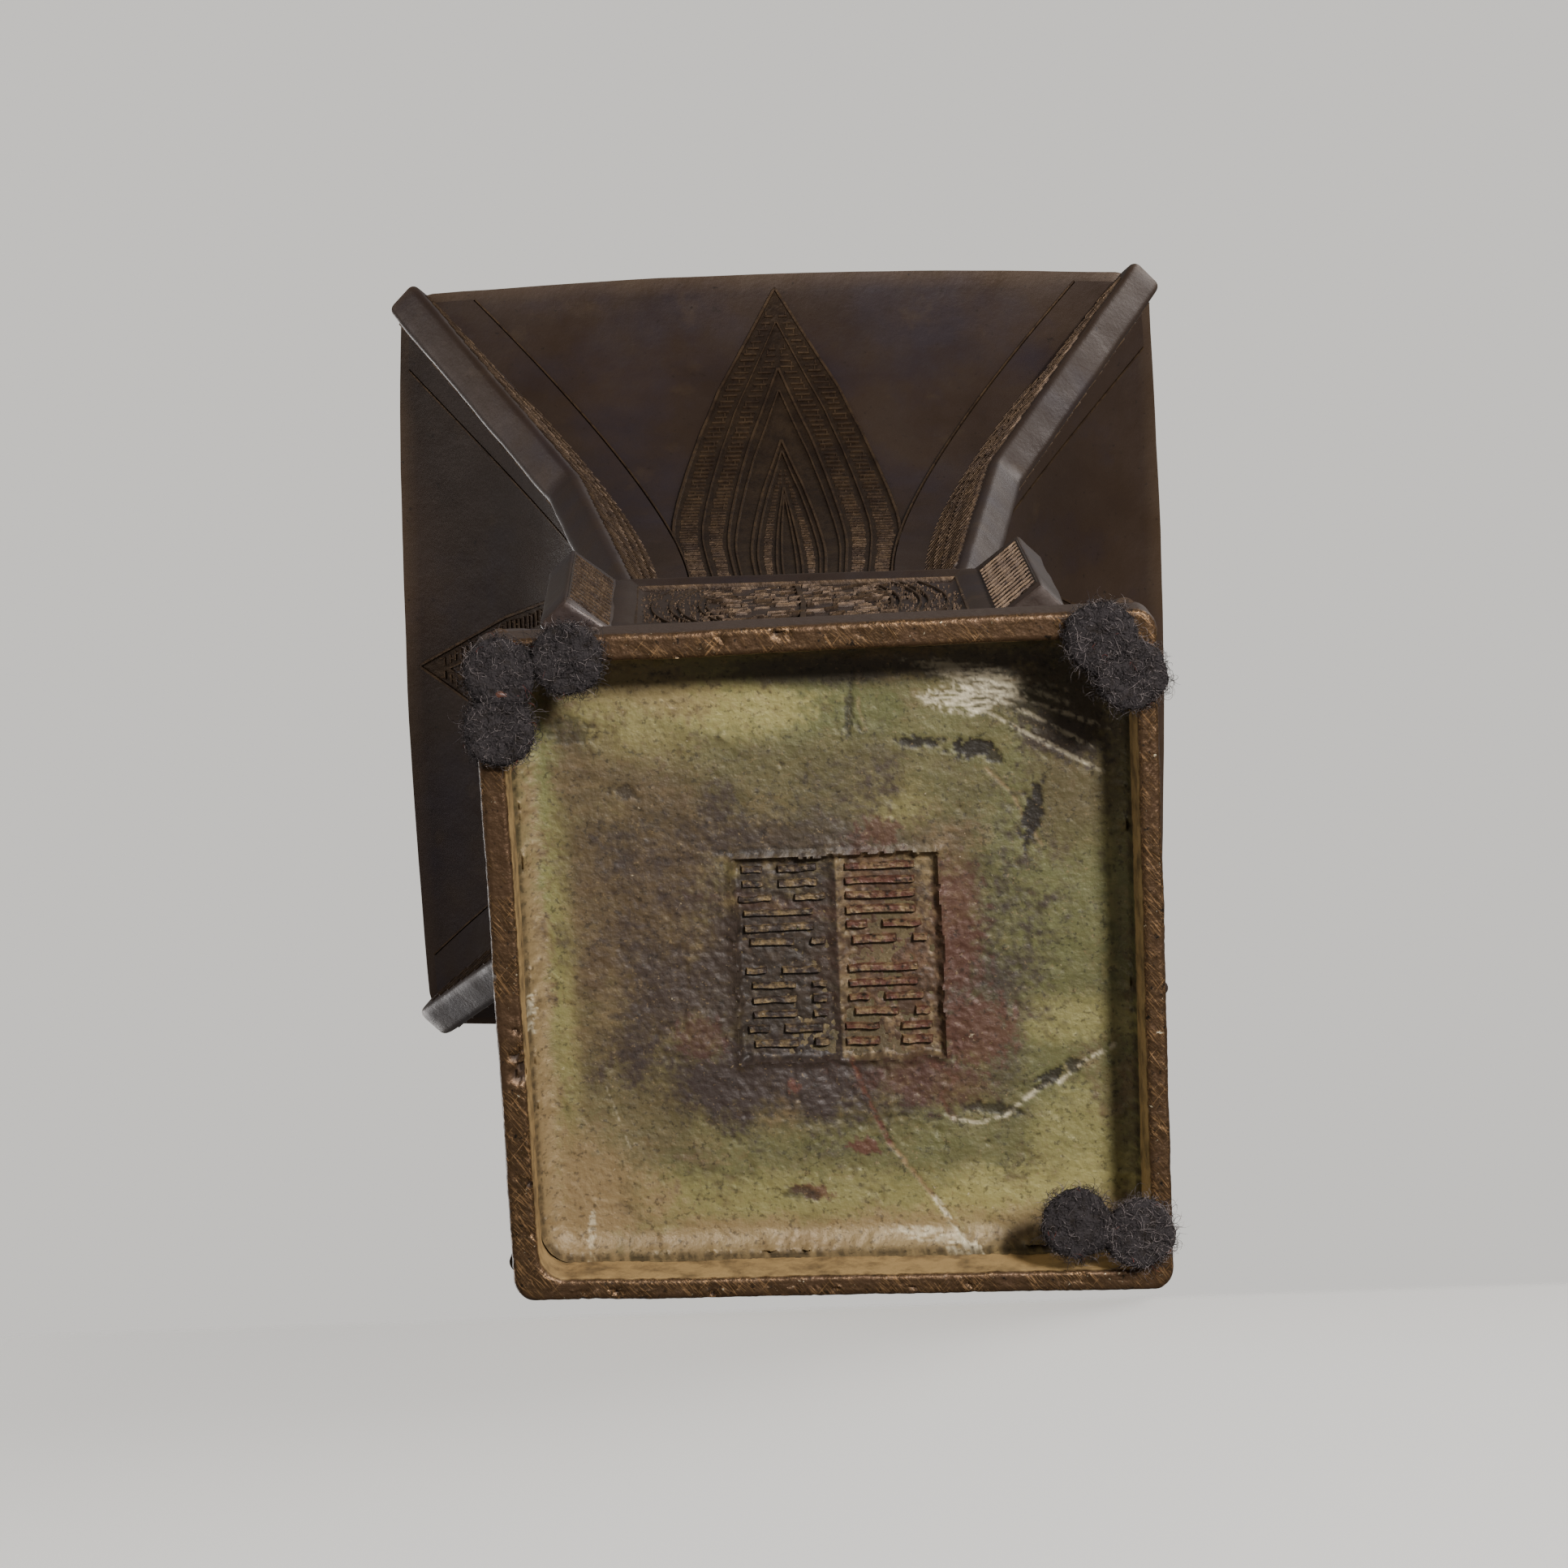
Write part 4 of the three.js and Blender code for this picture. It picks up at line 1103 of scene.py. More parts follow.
class VASE_OT_leaves(bpy.types.Operator):
    """Lay the upright leaves on the neck: nested double ridges with bands of key fret between"""

    bl_idname = "vase.leaves"
    bl_label = "Leaves"

    def execute(self, context):
        s = sizes()
        high = s.relief
        rng = random.Random(3)
        bands = []
        way, half = leaf_line(s.leaf_tip, 1.0, 1.0)
        bands.append((np.stack([-half, way], 1), np.stack([half, way], 1), 0.45 * high))
        nests = [(0.2742, 0.970, 1.0, 0.9), (0.2700, 0.72, 0.93, 0.5), (0.2630, 0.50, 0.85, 0.8),
                 (0.2590, 0.44, 0.82, 0.6), (0.2480, 0.31, 0.70, 0.8), (0.2450, 0.26, 0.68, 0.6),
                 (0.2340, 0.105, 0.60, 0.7), (0.2310, 0.06, 0.55, 0.6)]
        for tip_z, share, stretch, width in nests:
            way, half = leaf_line(tip_z, share, stretch)
            for side in (-1, 1):
                line = np.stack([side * half, way], 1)
                bands.append(ridge(line, width * MM, 1.15 * high))
        for outer, inner in ((0, 1), (1, 2), (5, 6)):
            tip_z, share, stretch, _ = nests[outer]
            in_tip, in_share, in_stretch, _ = nests[inner]
            way, outer_half = leaf_line(tip_z, share, stretch, 200)
            in_way, in_half = leaf_line(in_tip, in_share, in_stretch, 200)
            at = 0.002
            index = 0
            while at < way[-1] - 0.005:
                wide = float(np.interp(at, way, outer_half)) - 0.0006
                narrow = float(np.interp(at, in_way, in_half, right=0.0)) + 0.0005
                if at > in_way[-1]:
                    narrow = 0.0
                if wide - narrow > 0.0006:
                    for side in (-1, 1):
                        gap = wide - narrow
                        start = narrow + gap * rng.uniform(0.02, 0.14)
                        end = wide - gap * rng.uniform(0.02, 0.14)
                        tilt = rng.uniform(-0.12, 0.12) * MM
                        middle = side * (start + end) / 2
                        rung = s.pitch * rng.uniform(0.44, 0.58)
                        tall = high * rng.uniform(0.7, 1.05)
                        bands.append(stroke(middle, at, side * (end - start), tilt, rung, tall))
                        if index % 3 != 1 and gap > 2 * MM:
                            stem = side * (narrow + gap * rng.choice((0.3, 0.5, 0.72)))
                            upright = at + s.pitch / 2
                            bands.append(stroke(stem, upright, 0.00003, s.pitch, 0.00045, 0.85 * high))
                at += s.pitch * rng.uniform(0.94, 1.06)
                index += 1
        relief_piece("neck_leaf_relief", on_neck(bands), rubbed_bronze_painted_light(), "vase_body")
        return {"FINISHED"}


class VASE_OT_strips(bpy.types.Operator):
    """Lay the plain raised strips beside the neck's corner flanges"""

    bl_idname = "vase.strips"
    bl_label = "Strips"

    def execute(self, context):
        s = sizes()
        table, heights, halves = face_map()
        way = np.linspace(0.0002, way_at(s.height - 0.0012), 60)
        half = np.interp(way, table, halves)
        z = np.interp(way, table, heights)
        narrow, grows, margin = 9.5 * MM, 2.5 * MM, 1.8 * MM
        width = narrow + (z - s.knop_top) / (s.height - s.knop_top) * grows
        bands = []
        for side in (-1, 1):
            outer = np.stack([side * (half - margin), way], 1)
            inner = np.stack([side * (half - width), way], 1)
            bands.append((outer, inner, 1.5 * s.relief))
        plain = patinated_bronze("plain_cast_bronze", 0)
        relief_piece("neck_border_strips", on_neck(bands), plain, "vase_body")
        # Thin ridges along the strips' edges in the relief bronze: their dark feet are painted shade that
        # draws the grooves
        bands = []
        for side in (-1, 1):
            for edge in (width, margin):
                line = np.stack([side * (half - edge - 0.2 * MM), way], 1)
                bands.append(ridge(line, 0.6 * MM, 1.7 * s.relief))
        rubbed = bpy.data.materials["rubbed_relief_bronze_painted_light"]
        relief_piece("neck_border_grooves", on_neck(bands), rubbed, "vase_body")
        return {"FINISHED"}


def flange_lines():
    """For each kind of flange: its ends as (height, reach along the diagonal)."""
    s = sizes()
    diagonal = math.sqrt(2)
    kink = (s.kink, s.kink_half)
    foot = [(s.band_height - 1 * MM, s.foot_flange_low), (s.foot_flange_top, s.foot_flange_tip)]
    neck_low = [(s.knop_top - 0.5 * MM, s.neck_flange_low), kink]
    neck_high = [kink, (s.height, s.neck_flange_tip)]
    return {
        "foot": [(z, out * diagonal) for z, out in foot],
        "neck_low": [(z, out * diagonal) for z, out in neck_low],
        "neck_high": [(z, out * diagonal) for z, out in neck_high],
    }


def half_at(line, z):
    heights = [p[1] for p in line]
    halves = [p[0] for p in line]
    return float(np.interp(z, heights, halves))


# Half the thickness of the middle section's flanges, at their outer edge and at their root
KNOP_TIP = 2.9 * MM
KNOP_ROOT = 3.0 * MM * math.sqrt(2)


class VASE_OT_flanges(bpy.types.Operator):
    """Model the twelve corner flanges with rounded outer edges"""

    bl_idname = "vase.flanges"
    bl_label = "Flanges"

    def execute(self, context):
        s = sizes()
        lines = flange_lines()
        neck = neck_line(60)
        foot = foot_line(40)
        runs = []
        levels = []
        (low_z, low_out), (kink_z, kink_out) = lines["neck_low"]
        tip_out = lines["neck_high"][1][1]
        for i in range(31):
            z = low_z + (kink_z - low_z) * i / 30
            levels.append((z, low_out + (kink_out - low_out) * i / 30))
        for i in range(1, 33):
            z = kink_z + (s.height - kink_z) * i / 32
            levels.append((z, kink_out + (tip_out - kink_out) * i / 32))
        runs.append(("neck", [(z, out, half_at(neck, z) * math.sqrt(2) - 0.006) for z, out in levels]))
        (z_a, out_a), (z_b, out_b) = lines["foot"]
        levels = [(z_a + (z_b - z_a) * i / 30, out_a + (out_b - out_a) * i / 30) for i in range(31)]
        rooted = [(z, out, half_at(foot, z) * math.sqrt(2), z < 0.016) for z, out in levels]
        runs.append(("foot", [(z, out, r - (0.00165 if low else 0.006)) for z, out, r, low in rooted]))
        cast = bpy.data.materials["patinated_cast_bronze"]
        for name, levels in runs:
            vertices, faces = [], []
            half = s.flange_face / 2
            steps = 5
            edge = 0.0015
            for z, out, root in levels:
                side = []
                for share in np.linspace(0, 1, 6)[:-1]:
                    side.append((root + (out - edge - root) * share, -half))
                for i in range(steps + 1):
                    angle = math.pi / 2 * i / steps
                    reach = out - edge + edge * math.sin(angle)
                    side.append((reach, -half + edge - edge * math.cos(angle)))
                flat = [(out, -half + edge + (2 * (half - edge)) * k / 4) for k in (1, 2, 3)]
                mirrored = [(r, -o) for r, o in reversed(side)]
                ring = side + flat + mirrored
                count = len(ring)
                vertices += [(r, o, z) for r, o in ring]
            for i in range(len(levels) - 1):
                for j in range(count):
                    a, b = i * count + j, i * count + (j + 1) % count
                    faces.append((a, b, b + count, a + count))
            faces.append(tuple(reversed(range(count))))
            faces.append(tuple(range((len(levels) - 1) * count, len(levels) * count)))
            reach, off, height = np.array(vertices).T
            all_points, all_faces = [], []
            for quarter in QUARTERS:
                start = len(vertices) * quarter
                all_points.append(on_corner(quarter, reach, off, height))
                all_faces += [tuple(v + start for v in f) for f in faces]
            obj = mesh_object(name, np.concatenate(all_points), all_faces, cast)
            if name == "neck":
                round_ends(obj, s)
            uneven(obj, 0.0005, 0.012, 2)
            if name == "foot":
                set_points(obj, skewed)
            shade_smooth(obj, 40)
            make_piece(obj, f"{name}_flanges", "bronze", "vase_body")
        self.knop_flanges(s)
        return {"FINISHED"}

    def knop_flanges(self, s):
        """Four short trapezoid flanges on the middle section."""
        made = []
        base, out, sunk = s.knop_half - 3 * MM, s.knop_flange_half, 4 * MM
        diag = math.sqrt(2)
        for quarter in QUARTERS:
            select_nothing()
            bpy.ops.mesh.primitive_cube_add(size=1)
            obj = bpy.context.object
            low, high = s.knop_bottom + s.lift + 0.1 * MM, s.knop_top + s.lift - 1.8 * MM
            for v in obj.data.vertices:
                outer = v.co.x > 0
                r = (out if outer else base - sunk) * diag
                o = KNOP_TIP
                if not outer:
                    o += (KNOP_ROOT - KNOP_TIP) * (out - base + sunk) / (out - base)
                v.co = (r, math.copysign(o, v.co.y), low if v.co.z < 0 else high)
            bpy.ops.object.mode_set(mode="EDIT")
            bpy.ops.mesh.select_all(action="SELECT")
            bpy.ops.mesh.bevel(offset=0.0005, segments=2)
            bpy.ops.mesh.subdivide(number_cuts=6)
            bpy.ops.object.mode_set(mode="OBJECT")
            obj.data.transform(Matrix.Rotation(math.pi / 4 + quarter * math.pi / 2, 4, "Z"))
            made.append(obj)
        select_nothing()
        for obj in made:
            obj.select_set(True)
        bpy.context.view_layer.objects.active = made[0]
        bpy.ops.object.join()
        obj = bpy.context.object
        obj.data.materials.append(bpy.data.materials["patinated_cast_bronze"])
        uneven(obj, 0.0006, 0.006, 3)
        shade_smooth(obj, 40)
        make_piece(obj, "knop_flanges", "bronze", "vase_body")


def round_ends(obj, s):
    """Rounds the top outer corner of each neck flange."""
    radius = 3.4 * MM

    def rounded(points):
        top = s.height + s.lift
        reach = np.hypot(points[:, 0], points[:, 1])
        near = np.clip((points[:, 2] - (top - radius)) / radius, 0, 1)
        drop = radius * (1 - np.sqrt(np.clip(1 - near**2, 0, 1)))
        angle = np.arctan2(points[:, 1], points[:, 0])
        base = (s.lip_half - 0.002) * math.sqrt(2)
        new = np.where(reach > base, reach - drop, reach)
        moved = points.copy()
        moved[:, 0], moved[:, 1] = new * np.cos(angle), new * np.sin(angle)
        return moved

    set_points(obj, rounded)


def flange_place(quarter, side, levels):
    """Puts strokes on the side of a corner flange: along its height, and out from its root."""
    heights, reaches, roots = np.array(levels).T

    def place(height, share, lift_off):
        outer = np.interp(height, heights, reaches) - 1.8 * MM
        root = np.interp(height, heights, roots)
        off = side * (sizes().flange_face / 2 + lift_off - 0.1 * MM)
        return on_corner(quarter, root + (outer - root) * share, off, height)

    return place


class VASE_OT_flange_relief(bpy.types.Operator):
    """Lay the comma strokes on the sides of the neck flanges and the lattice on the knop's"""

    bl_idname = "vase.flange_relief"
    bl_label = "Flange relief"

    def execute(self, context):
        s = sizes()
        rng = random.Random(8)
        neck = neck_line(60)
        lines = flange_lines()
        z_values = [l[0] for l in lines["neck_low"]] + [lines["neck_high"][1][0]]
        outs = [l[1] for l in lines["neck_low"]] + [lines["neck_high"][1][1]]
        levels = []
        for i in range(41):
            z = z_values[0] + (z_values[-1] - z_values[0]) * i / 40
            out = float(np.interp(z, z_values, outs))
            root = half_at(neck, z) * math.sqrt(2) - s.flange_face / 2
            levels.append((z, out, root))
        sets = []
        for quarter in QUARTERS:
            for side in (-1, 1):
                bands = []
                z = s.knop_top + 0.003
                while z < s.height - 0.006:
                    bands.append(self.slanted(z, 0.84, 0.0022, 0.30, rng))
                    bands.append(self.slanted(z + 0.0009, 0.62, 0.0020, 0.26, rng))
                    if 0.165 < z < 0.255:
                        bands.append(self.slanted(z, 0.38, 0.0020, 0.24, rng))
                        bands.append(self.slanted(z + 0.0011, 0.16, 0.0018, 0.2, rng))
                    z += 0.0027 * rng.uniform(0.9, 1.1)
                sets.append((bands, flange_place(quarter, side, levels)))
        rubbed = bpy.data.materials["rubbed_relief_bronze_painted_light"]
        relief_piece("neck_flange_relief", sets, rubbed, "vase_body")
        sets = []
        base = (s.knop_half - 3 * MM) * math.sqrt(2)
        out = s.knop_flange_half * math.sqrt(2)
        for quarter in QUARTERS:
            for side in (-1, 1):
                sets.append((self.lattice(s, rng), self.knop_place(quarter, side, base, out)))
        relief_piece("knop_flange_relief", sets, rubbed, "vase_body")
        return {"FINISHED"}

    def slanted(self, z, share, drop, reach, rng):
        """A short comma stroke slanting up and out across part of the flange."""
        start = (z, share - reach / 2)
        end = (z + drop * rng.uniform(0.8, 1.2), share + reach / 2)
        middle = ((start[0] + end[0]) / 2 - 0.0003, (start[1] + end[1]) / 2)
        points = np.array([start, middle, end])
        width = np.array([[0.0004, 0], [0.0006, 0], [0.0003, 0]])
        return points + width, points - width, sizes().relief * 0.9

    def lattice(self, s, rng):
        low, high = s.knop_bottom + 0.003, s.knop_top - 0.005
        bands = []
        for share in (0.12, 0.40, 0.68, 0.90):
            points = np.array([(low, share), (high, share)])
            width = np.array([[0, 0.05], [0, 0.05]])
            bands.append((points + width, points - width, 0.45 * s.relief))
        z = low
        while z < high - 0.003:
            points = np.array([(z, 0.08), (z + 0.0022, 0.92)])
            width = np.array([[0.00035, 0], [0.00035, 0]])
            bands.append((points + width, points - width, s.relief))
            z += 0.0034 * rng.uniform(0.9, 1.1)
        return bands

    def knop_place(self, quarter, side, base, out):
        """Puts strokes on the side of a middle flange: along its height, and out from its root."""

        def place(height, share, lift_off):
            off = side * (KNOP_ROOT + (KNOP_TIP - KNOP_ROOT) * share + lift_off - 0.1 * MM)
            return on_corner(quarter, base + (out - base) * share, off, height)

        return place


class VASE_OT_masks(bpy.types.Operator):
    """Lay the mask in the middle section's panels: arcs, eyes, a nose ridge, streaks and grains"""

    bl_idname = "vase.masks"
    bl_label = "Masks"

    def execute(self, context):
        s = sizes()
        middle = (s.knop_bottom + s.knop_top + 0.002) / 2
        reach = 19.5 * MM
        arcs = [(15.0, 0.6), (16.3, 0.4), (19.6, 0.5), (21.0, 0.7), (24.0, 0.4)]
        wide, tall = 26.6 * MM, reach + 1.2 * MM
        border = [(-wide, -tall), (-wide, 0), (-wide, tall), (0, tall)]
        border += [(wide, tall), (wide, 0), (wide, -tall), (0, -tall)]
        sets = []
        for quarter in QUARTERS:
            rng = random.Random(20 + quarter)
            bands = []
            for side in (-1, 1):
                for out, width in arcs:
                    t = np.linspace(-1, 1, 15)
                    points = np.stack([side * (out * MM - 0.004 * t * t), middle + reach * t], 1)
                    bands.append(ridge(points, width * MM, 1.0 * s.relief))
                ring = np.linspace(0, 2 * math.pi, 17)
                for radius in (0.0026, 0.0010):
                    x = side * 12.2 * MM + radius * np.cos(ring)
                    z = middle + 6 * MM + 0.8 * radius * np.sin(ring)
                    bands.append(ridge(np.stack([x, z], 1), 0.9 * MM, 1.5 * s.relief))
            nose = [(0, middle - reach), (0.6 * MM, middle), (0, middle + reach)]
            bands.append(ridge(nose, 1.2 * MM, 1.1 * s.relief))
            for start, end in zip(border, border[1:] + border[:1]):
                line = [(start[0], middle + start[1]), (end[0], middle + end[1])]
                bands.append(ridge(line, 0.0011, 1.7 * s.relief))
            for _ in range(260):
                x = rng.uniform(-0.0145, 0.0145)
                z = middle + rng.uniform(-0.98, 0.98) * reach
                far = rng.uniform(0.0010, 0.0040)
                lean = rng.uniform(0.1, 0.7)
                width = rng.uniform(0.0004, 0.0008)
                bands.append(stroke(x, z, far, far * lean, width, s.relief * rng.uniform(0.5, 1.5)))
            for side in (-1, 1):
                for _ in range(420):
                    out = rng.uniform(0.0125, 0.0268)
                    t = rng.uniform(-0.99, 0.99)
                    x = side * (out - 0.004 * t * t)
                    far = rng.uniform(0.0004, 0.0009)
                    tall_as = s.relief * rng.uniform(0.5, 1.1)
                    bands.append(stroke(x, middle + reach * t, 0.00002, far, 0.0004, tall_as))

            def place(x, z, lift_off, q=quarter):
                face = s.knop_half - s.panel_depth
                points = np.stack([x, -(face + lift_off), z + s.lift], 1)
                return turned(points, q)

            sets.append((bands, place))
        relief_piece("knop_mask_relief", sets, bpy.data.materials["rubbed_relief_bronze_painted_light"], "vase_body")
        return {"FINISHED"}


# One cell of the key fret, in millimetres from the middle of its foot
FRET = [(-1.7, 0.3), (-1.7, 4.0), (1.6, 4.0), (1.6, 1.2), (-0.6, 1.2), (-0.6, 2.8), (0.5, 2.8)]


class VASE_OT_foot_relief(bpy.types.Operator):
    """Lay a plain key fret in the foot's sunk panels"""

    bl_idname = "vase.foot_relief"
    bl_label = "Foot relief"

    def execute(self, context):
        s = sizes()
        line = foot_line(60)
        lowest, highest, row_height = 19 * MM, 59 * MM, 5 * MM
        sets = []
        for quarter in QUARTERS:
            bands = []
            z = lowest
            row = 0
            while z < highest:
                wide = half_at(line, z) - 0.0115
                bands.append(stroke(0, z, 2 * wide, 0.00001, 0.0006, 1.1 * s.relief))
                cells = 2 * int(wide / 0.0046)
                for i in range(cells):
                    x = -wide + (i + 0.5) * 2 * wide / cells
                    turn = 1 if (i + row) % 2 else -1
                    corners = [(x + turn * a * MM, z + b * MM) for a, b in FRET]
                    for start, end in zip(corners, corners[1:]):
                        bands.append(ridge([start, end], 0.0006, s.relief))
                z += row_height
                row += 1

            def place(x, height, lift_off, q=quarter):
                heights = [p[1] for p in line]
                halves = [p[0] for p in line]
                half = np.interp(height, heights, halves) - s.foot_panel_depth
                points = np.stack([x, -(half + lift_off), np.asarray(height) + s.lift], 1)
                return skewed(turned(points, q))

            sets.append((bands, place))
        relief_piece("foot_panel_relief", sets, bpy.data.materials["rubbed_relief_bronze_painted_light"], "vase_body")
        return {"FINISHED"}


# The ways a row of the mark is broken into strokes, as shares of its width
ROW_PARTS = [
    [(0.1, 0.8)],
    [(0.05, 0.4), (0.6, 0.92)],
    [(0.15, 0.6), (0.75, 0.9)],
    [(0.1, 0.32), (0.45, 0.85)],
]


class VASE_OT_mark(bpy.types.Operator):
    """Lay rows of short shallow strokes in the sunk square under the foot"""

    bl_idname = "vase.mark"
    bl_label = "Mark strokes"

    def execute(self, context):
        s = sizes()
        rng = random.Random(12)
        bands = []
        cell = s.mark / 2
        rows = 6
        pitch = (cell - 2 * MM) / rows
        for column in range(2):
            for block in range(2):
                for row in range(rows):
                    y = MARK_SHIFT[1] - cell + block * cell + 1 * MM + (row + 0.5) * pitch
                    x0 = MARK_SHIFT[0] - cell + column * cell
                    for start, end in rng.choice(ROW_PARTS):
                        left, right = x0 + cell * start, x0 + cell * end
                        points = [
                            (left + (right - left) * t, y + rng.uniform(-0.00012, 0.00012))
                            for t in (0, 0.25, 0.5, 0.75, 1)
                        ]
                        bands.append(ridge(points, 0.00115 * rng.uniform(0.85, 1.15), 0.00075))

        def place(x, y, lift_off):
            z = s.recess + 0.00095 - np.asarray(lift_off) + s.lift
            return skewed(np.stack([x, y, z], 1))

        relief_piece("base_mark_strokes", [(bands, place)], mark_bronze(), "vase_body")
        return {"FINISHED"}


class VASE_OT_felt(bpy.types.Operator):
    """Make the worn felt pads under the rim, each a soft disc with loose fibres"""

    bl_idname = "vase.felt"
    bl_label = "Felt pads"

    def execute(self, context):
        s = sizes()
        core = felt_wool("needled_wool_felt", True)
        loose = felt_wool("loose_wool_fibres", False)
        for index, (name, (x, y)) in enumerate(PADS.items()):
            self.pad(s, name, x, y, index, core, loose)
        self.glue(s)
        return {"FINISHED"}

    def glue(self, s):
        """A drop of glue squeezed out of the crease between two pads."""
        select_nothing()
        bpy.ops.mesh.primitive_uv_sphere_add(radius=0.0015, segments=24, ring_count=12)
        drop = bpy.context.object
        bpy.ops.object.mode_set(mode="EDIT")
        bpy.ops.transform.resize(value=(1.0, 0.42, 0.40), center_override=(0, 0, 0))
        bpy.ops.transform.rotate(value=-0.12, orient_axis="Z", center_override=(0, 0, 0))
        bpy.ops.transform.translate(value=(-0.0443, -0.0405, 0.0008))
        bpy.ops.object.mode_set(mode="OBJECT")
        uneven(drop, 0.0004, 0.0009, 71)
        drop.data.materials.append(yellow_glue())
        shade_smooth(drop, 80)
        make_piece(drop, "felt_glue_drop", "felt", "felt_pad_front_left_side")

    def pad(self, s, name, x, y, index, core, loose):
        select_nothing()
        low, high = 0.0004, s.pad_height
        bpy.ops.mesh.primitive_cylinder_add(
            vertices=40, radius=s.pad_radius, depth=high - low, location=(x, y, (low + high) / 2)
        )
        obj = bpy.context.object
        bpy.ops.object.transform_apply(location=True, rotation=True, scale=True)
        bpy.ops.object.mode_set(mode="EDIT")
        bpy.ops.mesh.select_all(action="SELECT")
        bpy.ops.mesh.bevel(offset=0.0009, segments=4)
        bpy.ops.mesh.select_all(action="SELECT")
        bpy.ops.object.mode_set(mode="OBJECT")
        remesh = obj.modifiers.new("Remesh", "REMESH")
        remesh.mode = "VOXEL"
        remesh.voxel_size = 0.00028
        bpy.ops.object.modifier_apply(modifier="Remesh")
        uneven(obj, 0.0011, 0.0026, index)
        uneven(obj, 0.0004, 0.0007, index + 20)

        def flat_below(points):
            points[:, 2] = np.clip(points[:, 2], 0.0001, s.lift + 0.0002)
            return points

        set_points(obj, flat_below)
        obj.data.materials.append(core)
        core_points = [v.co.copy() for v in obj.data.vertices]
        normals = [v.normal.copy() for v in obj.data.vertices]
        vertices, faces, tones = self.fibres(s, core_points, normals, name, index)
        hair = mesh_object("hair", vertices, faces, loose, {"fibre_tone": tones})
        layer = obj.data.attributes.new("fibre_tone", "FLOAT", "POINT")
        layer.data.foreach_set("value", [0.0] * len(obj.data.vertices))
        select_nothing()
        hair.select_set(True)
        obj.select_set(True)
        bpy.context.view_layer.objects.active = obj
        bpy.ops.object.join()
        shade_smooth(obj, 80)
        piece = make_piece(obj, f"felt_disc_{name}", "felt", f"felt_pad_{name}")

    def fibres(self, s, points, normals, name, index):
        """Curly tapering fibres that start in the pad's surface and lie along it."""
        rng = random.Random(100 + index)
        dusty = DUSTY.get(name, DUSTY_ELSE)
        vertices, faces, tones = [], [], []
        stations = 8
        for _ in range(1500):
            k = rng.randrange(len(points))
            normal = normals[k]
            at = points[k] - normal * 0.0001
            along = Vector((rng.gauss(0, 1), rng.gauss(0, 1), rng.gauss(0, 1)))
            along = (along - along.dot(normal) * normal).normalized()
            loose = rng.random() > 0.90
            lean = rng.uniform(0.4, 1.0) if loose else rng.uniform(0.1, 0.5)
            heading = (along + normal * lean).normalized()
            spin = Vector((rng.gauss(0, 1), rng.gauss(0, 1), rng.gauss(0, 1))).normalized()
            curl = rng.uniform(0.3, 0.9)
            far = s.fibre * rng.uniform(0.5, 1.2) * (1.3 if loose else 1.0)
            shade = rng.random()
            tone_value = rng.uniform(0, 0.7) if shade < 1 - dusty else (0.9 if shade < 0.99 else 1.0)
            base = len(vertices)
            for i in range(stations):
                taper = 1.0 if i < 4 else (stations - i) / 4
                radius = s.fibre_radius * taper * (0.75 if tone_value < 0.8 else 0.55)
                side = heading.orthogonal().normalized()
                up = heading.cross(side)
                for j in range(3):
                    a = j * 2 * math.pi / 3
                    p = at + side * (radius * math.cos(a)) + up * (radius * math.sin(a))
                    vertices.append((p.x, p.y, max(p.z, 0.00001 * (j + 1))))
                    tones.append(tone_value)
                sink = normal * (0.05 if loose else 0.16)
                heading = (heading + heading.cross(spin) * curl - sink).normalized()
                at = at + heading * (far / (stations - 1))
            for i in range(stations - 1):
                for j in range(3):
                    a, b = base + 3 * i + j, base + 3 * i + (j + 1) % 3
                    faces.append((a, b, b + 3, a + 3))
            faces.append((base + 2, base + 1, base))
            end = base + 3 * (stations - 1)
            faces.append((end, end + 1, end + 2))
        return vertices, faces, tones


def one_sided_floor(name, fades):
    """Matt pale paper that shows from its front alone, fading out where it is told to."""
    material, tree, coords = new_material(name)
    values = {"Base Color": tone("ground"), "Roughness": 0.9}
    values |= {"Emission Color": tone("ground"), "Emission Strength": 0.17}
    shader = add_node(tree, "ShaderNodeBsdfPrincipled", values)
    clear = add_node(tree, "ShaderNodeBsdfTransparent")
    hidden = add_node(tree, "ShaderNodeNewGeometry").outputs["Backfacing"]
    place = add_node(tree, "ShaderNodeSeparateXYZ", {0: coords})
    for axis, upward, start, end in fades:
        far = place.outputs[axis]
        if not upward:
            far = add_node(tree, "ShaderNodeMath", {0: far}, operation="ABSOLUTE").outputs[0]
        limits = {"Value": far, "From Min": start, "From Max": end}
        gone = add_node(tree, "ShaderNodeMapRange", limits, interpolation_type="SMOOTHSTEP").outputs[0]
        hidden = add_node(tree, "ShaderNodeMath", {0: hidden, 1: gone}, operation="MAXIMUM").outputs[0]
    blend = add_node(tree, "ShaderNodeMixShader", {0: hidden, 1: shader.outputs[0], 2: clear.outputs[0]})
    add_node(tree, "ShaderNodeOutputMaterial", {"Surface": blend.outputs[0]})
    return material


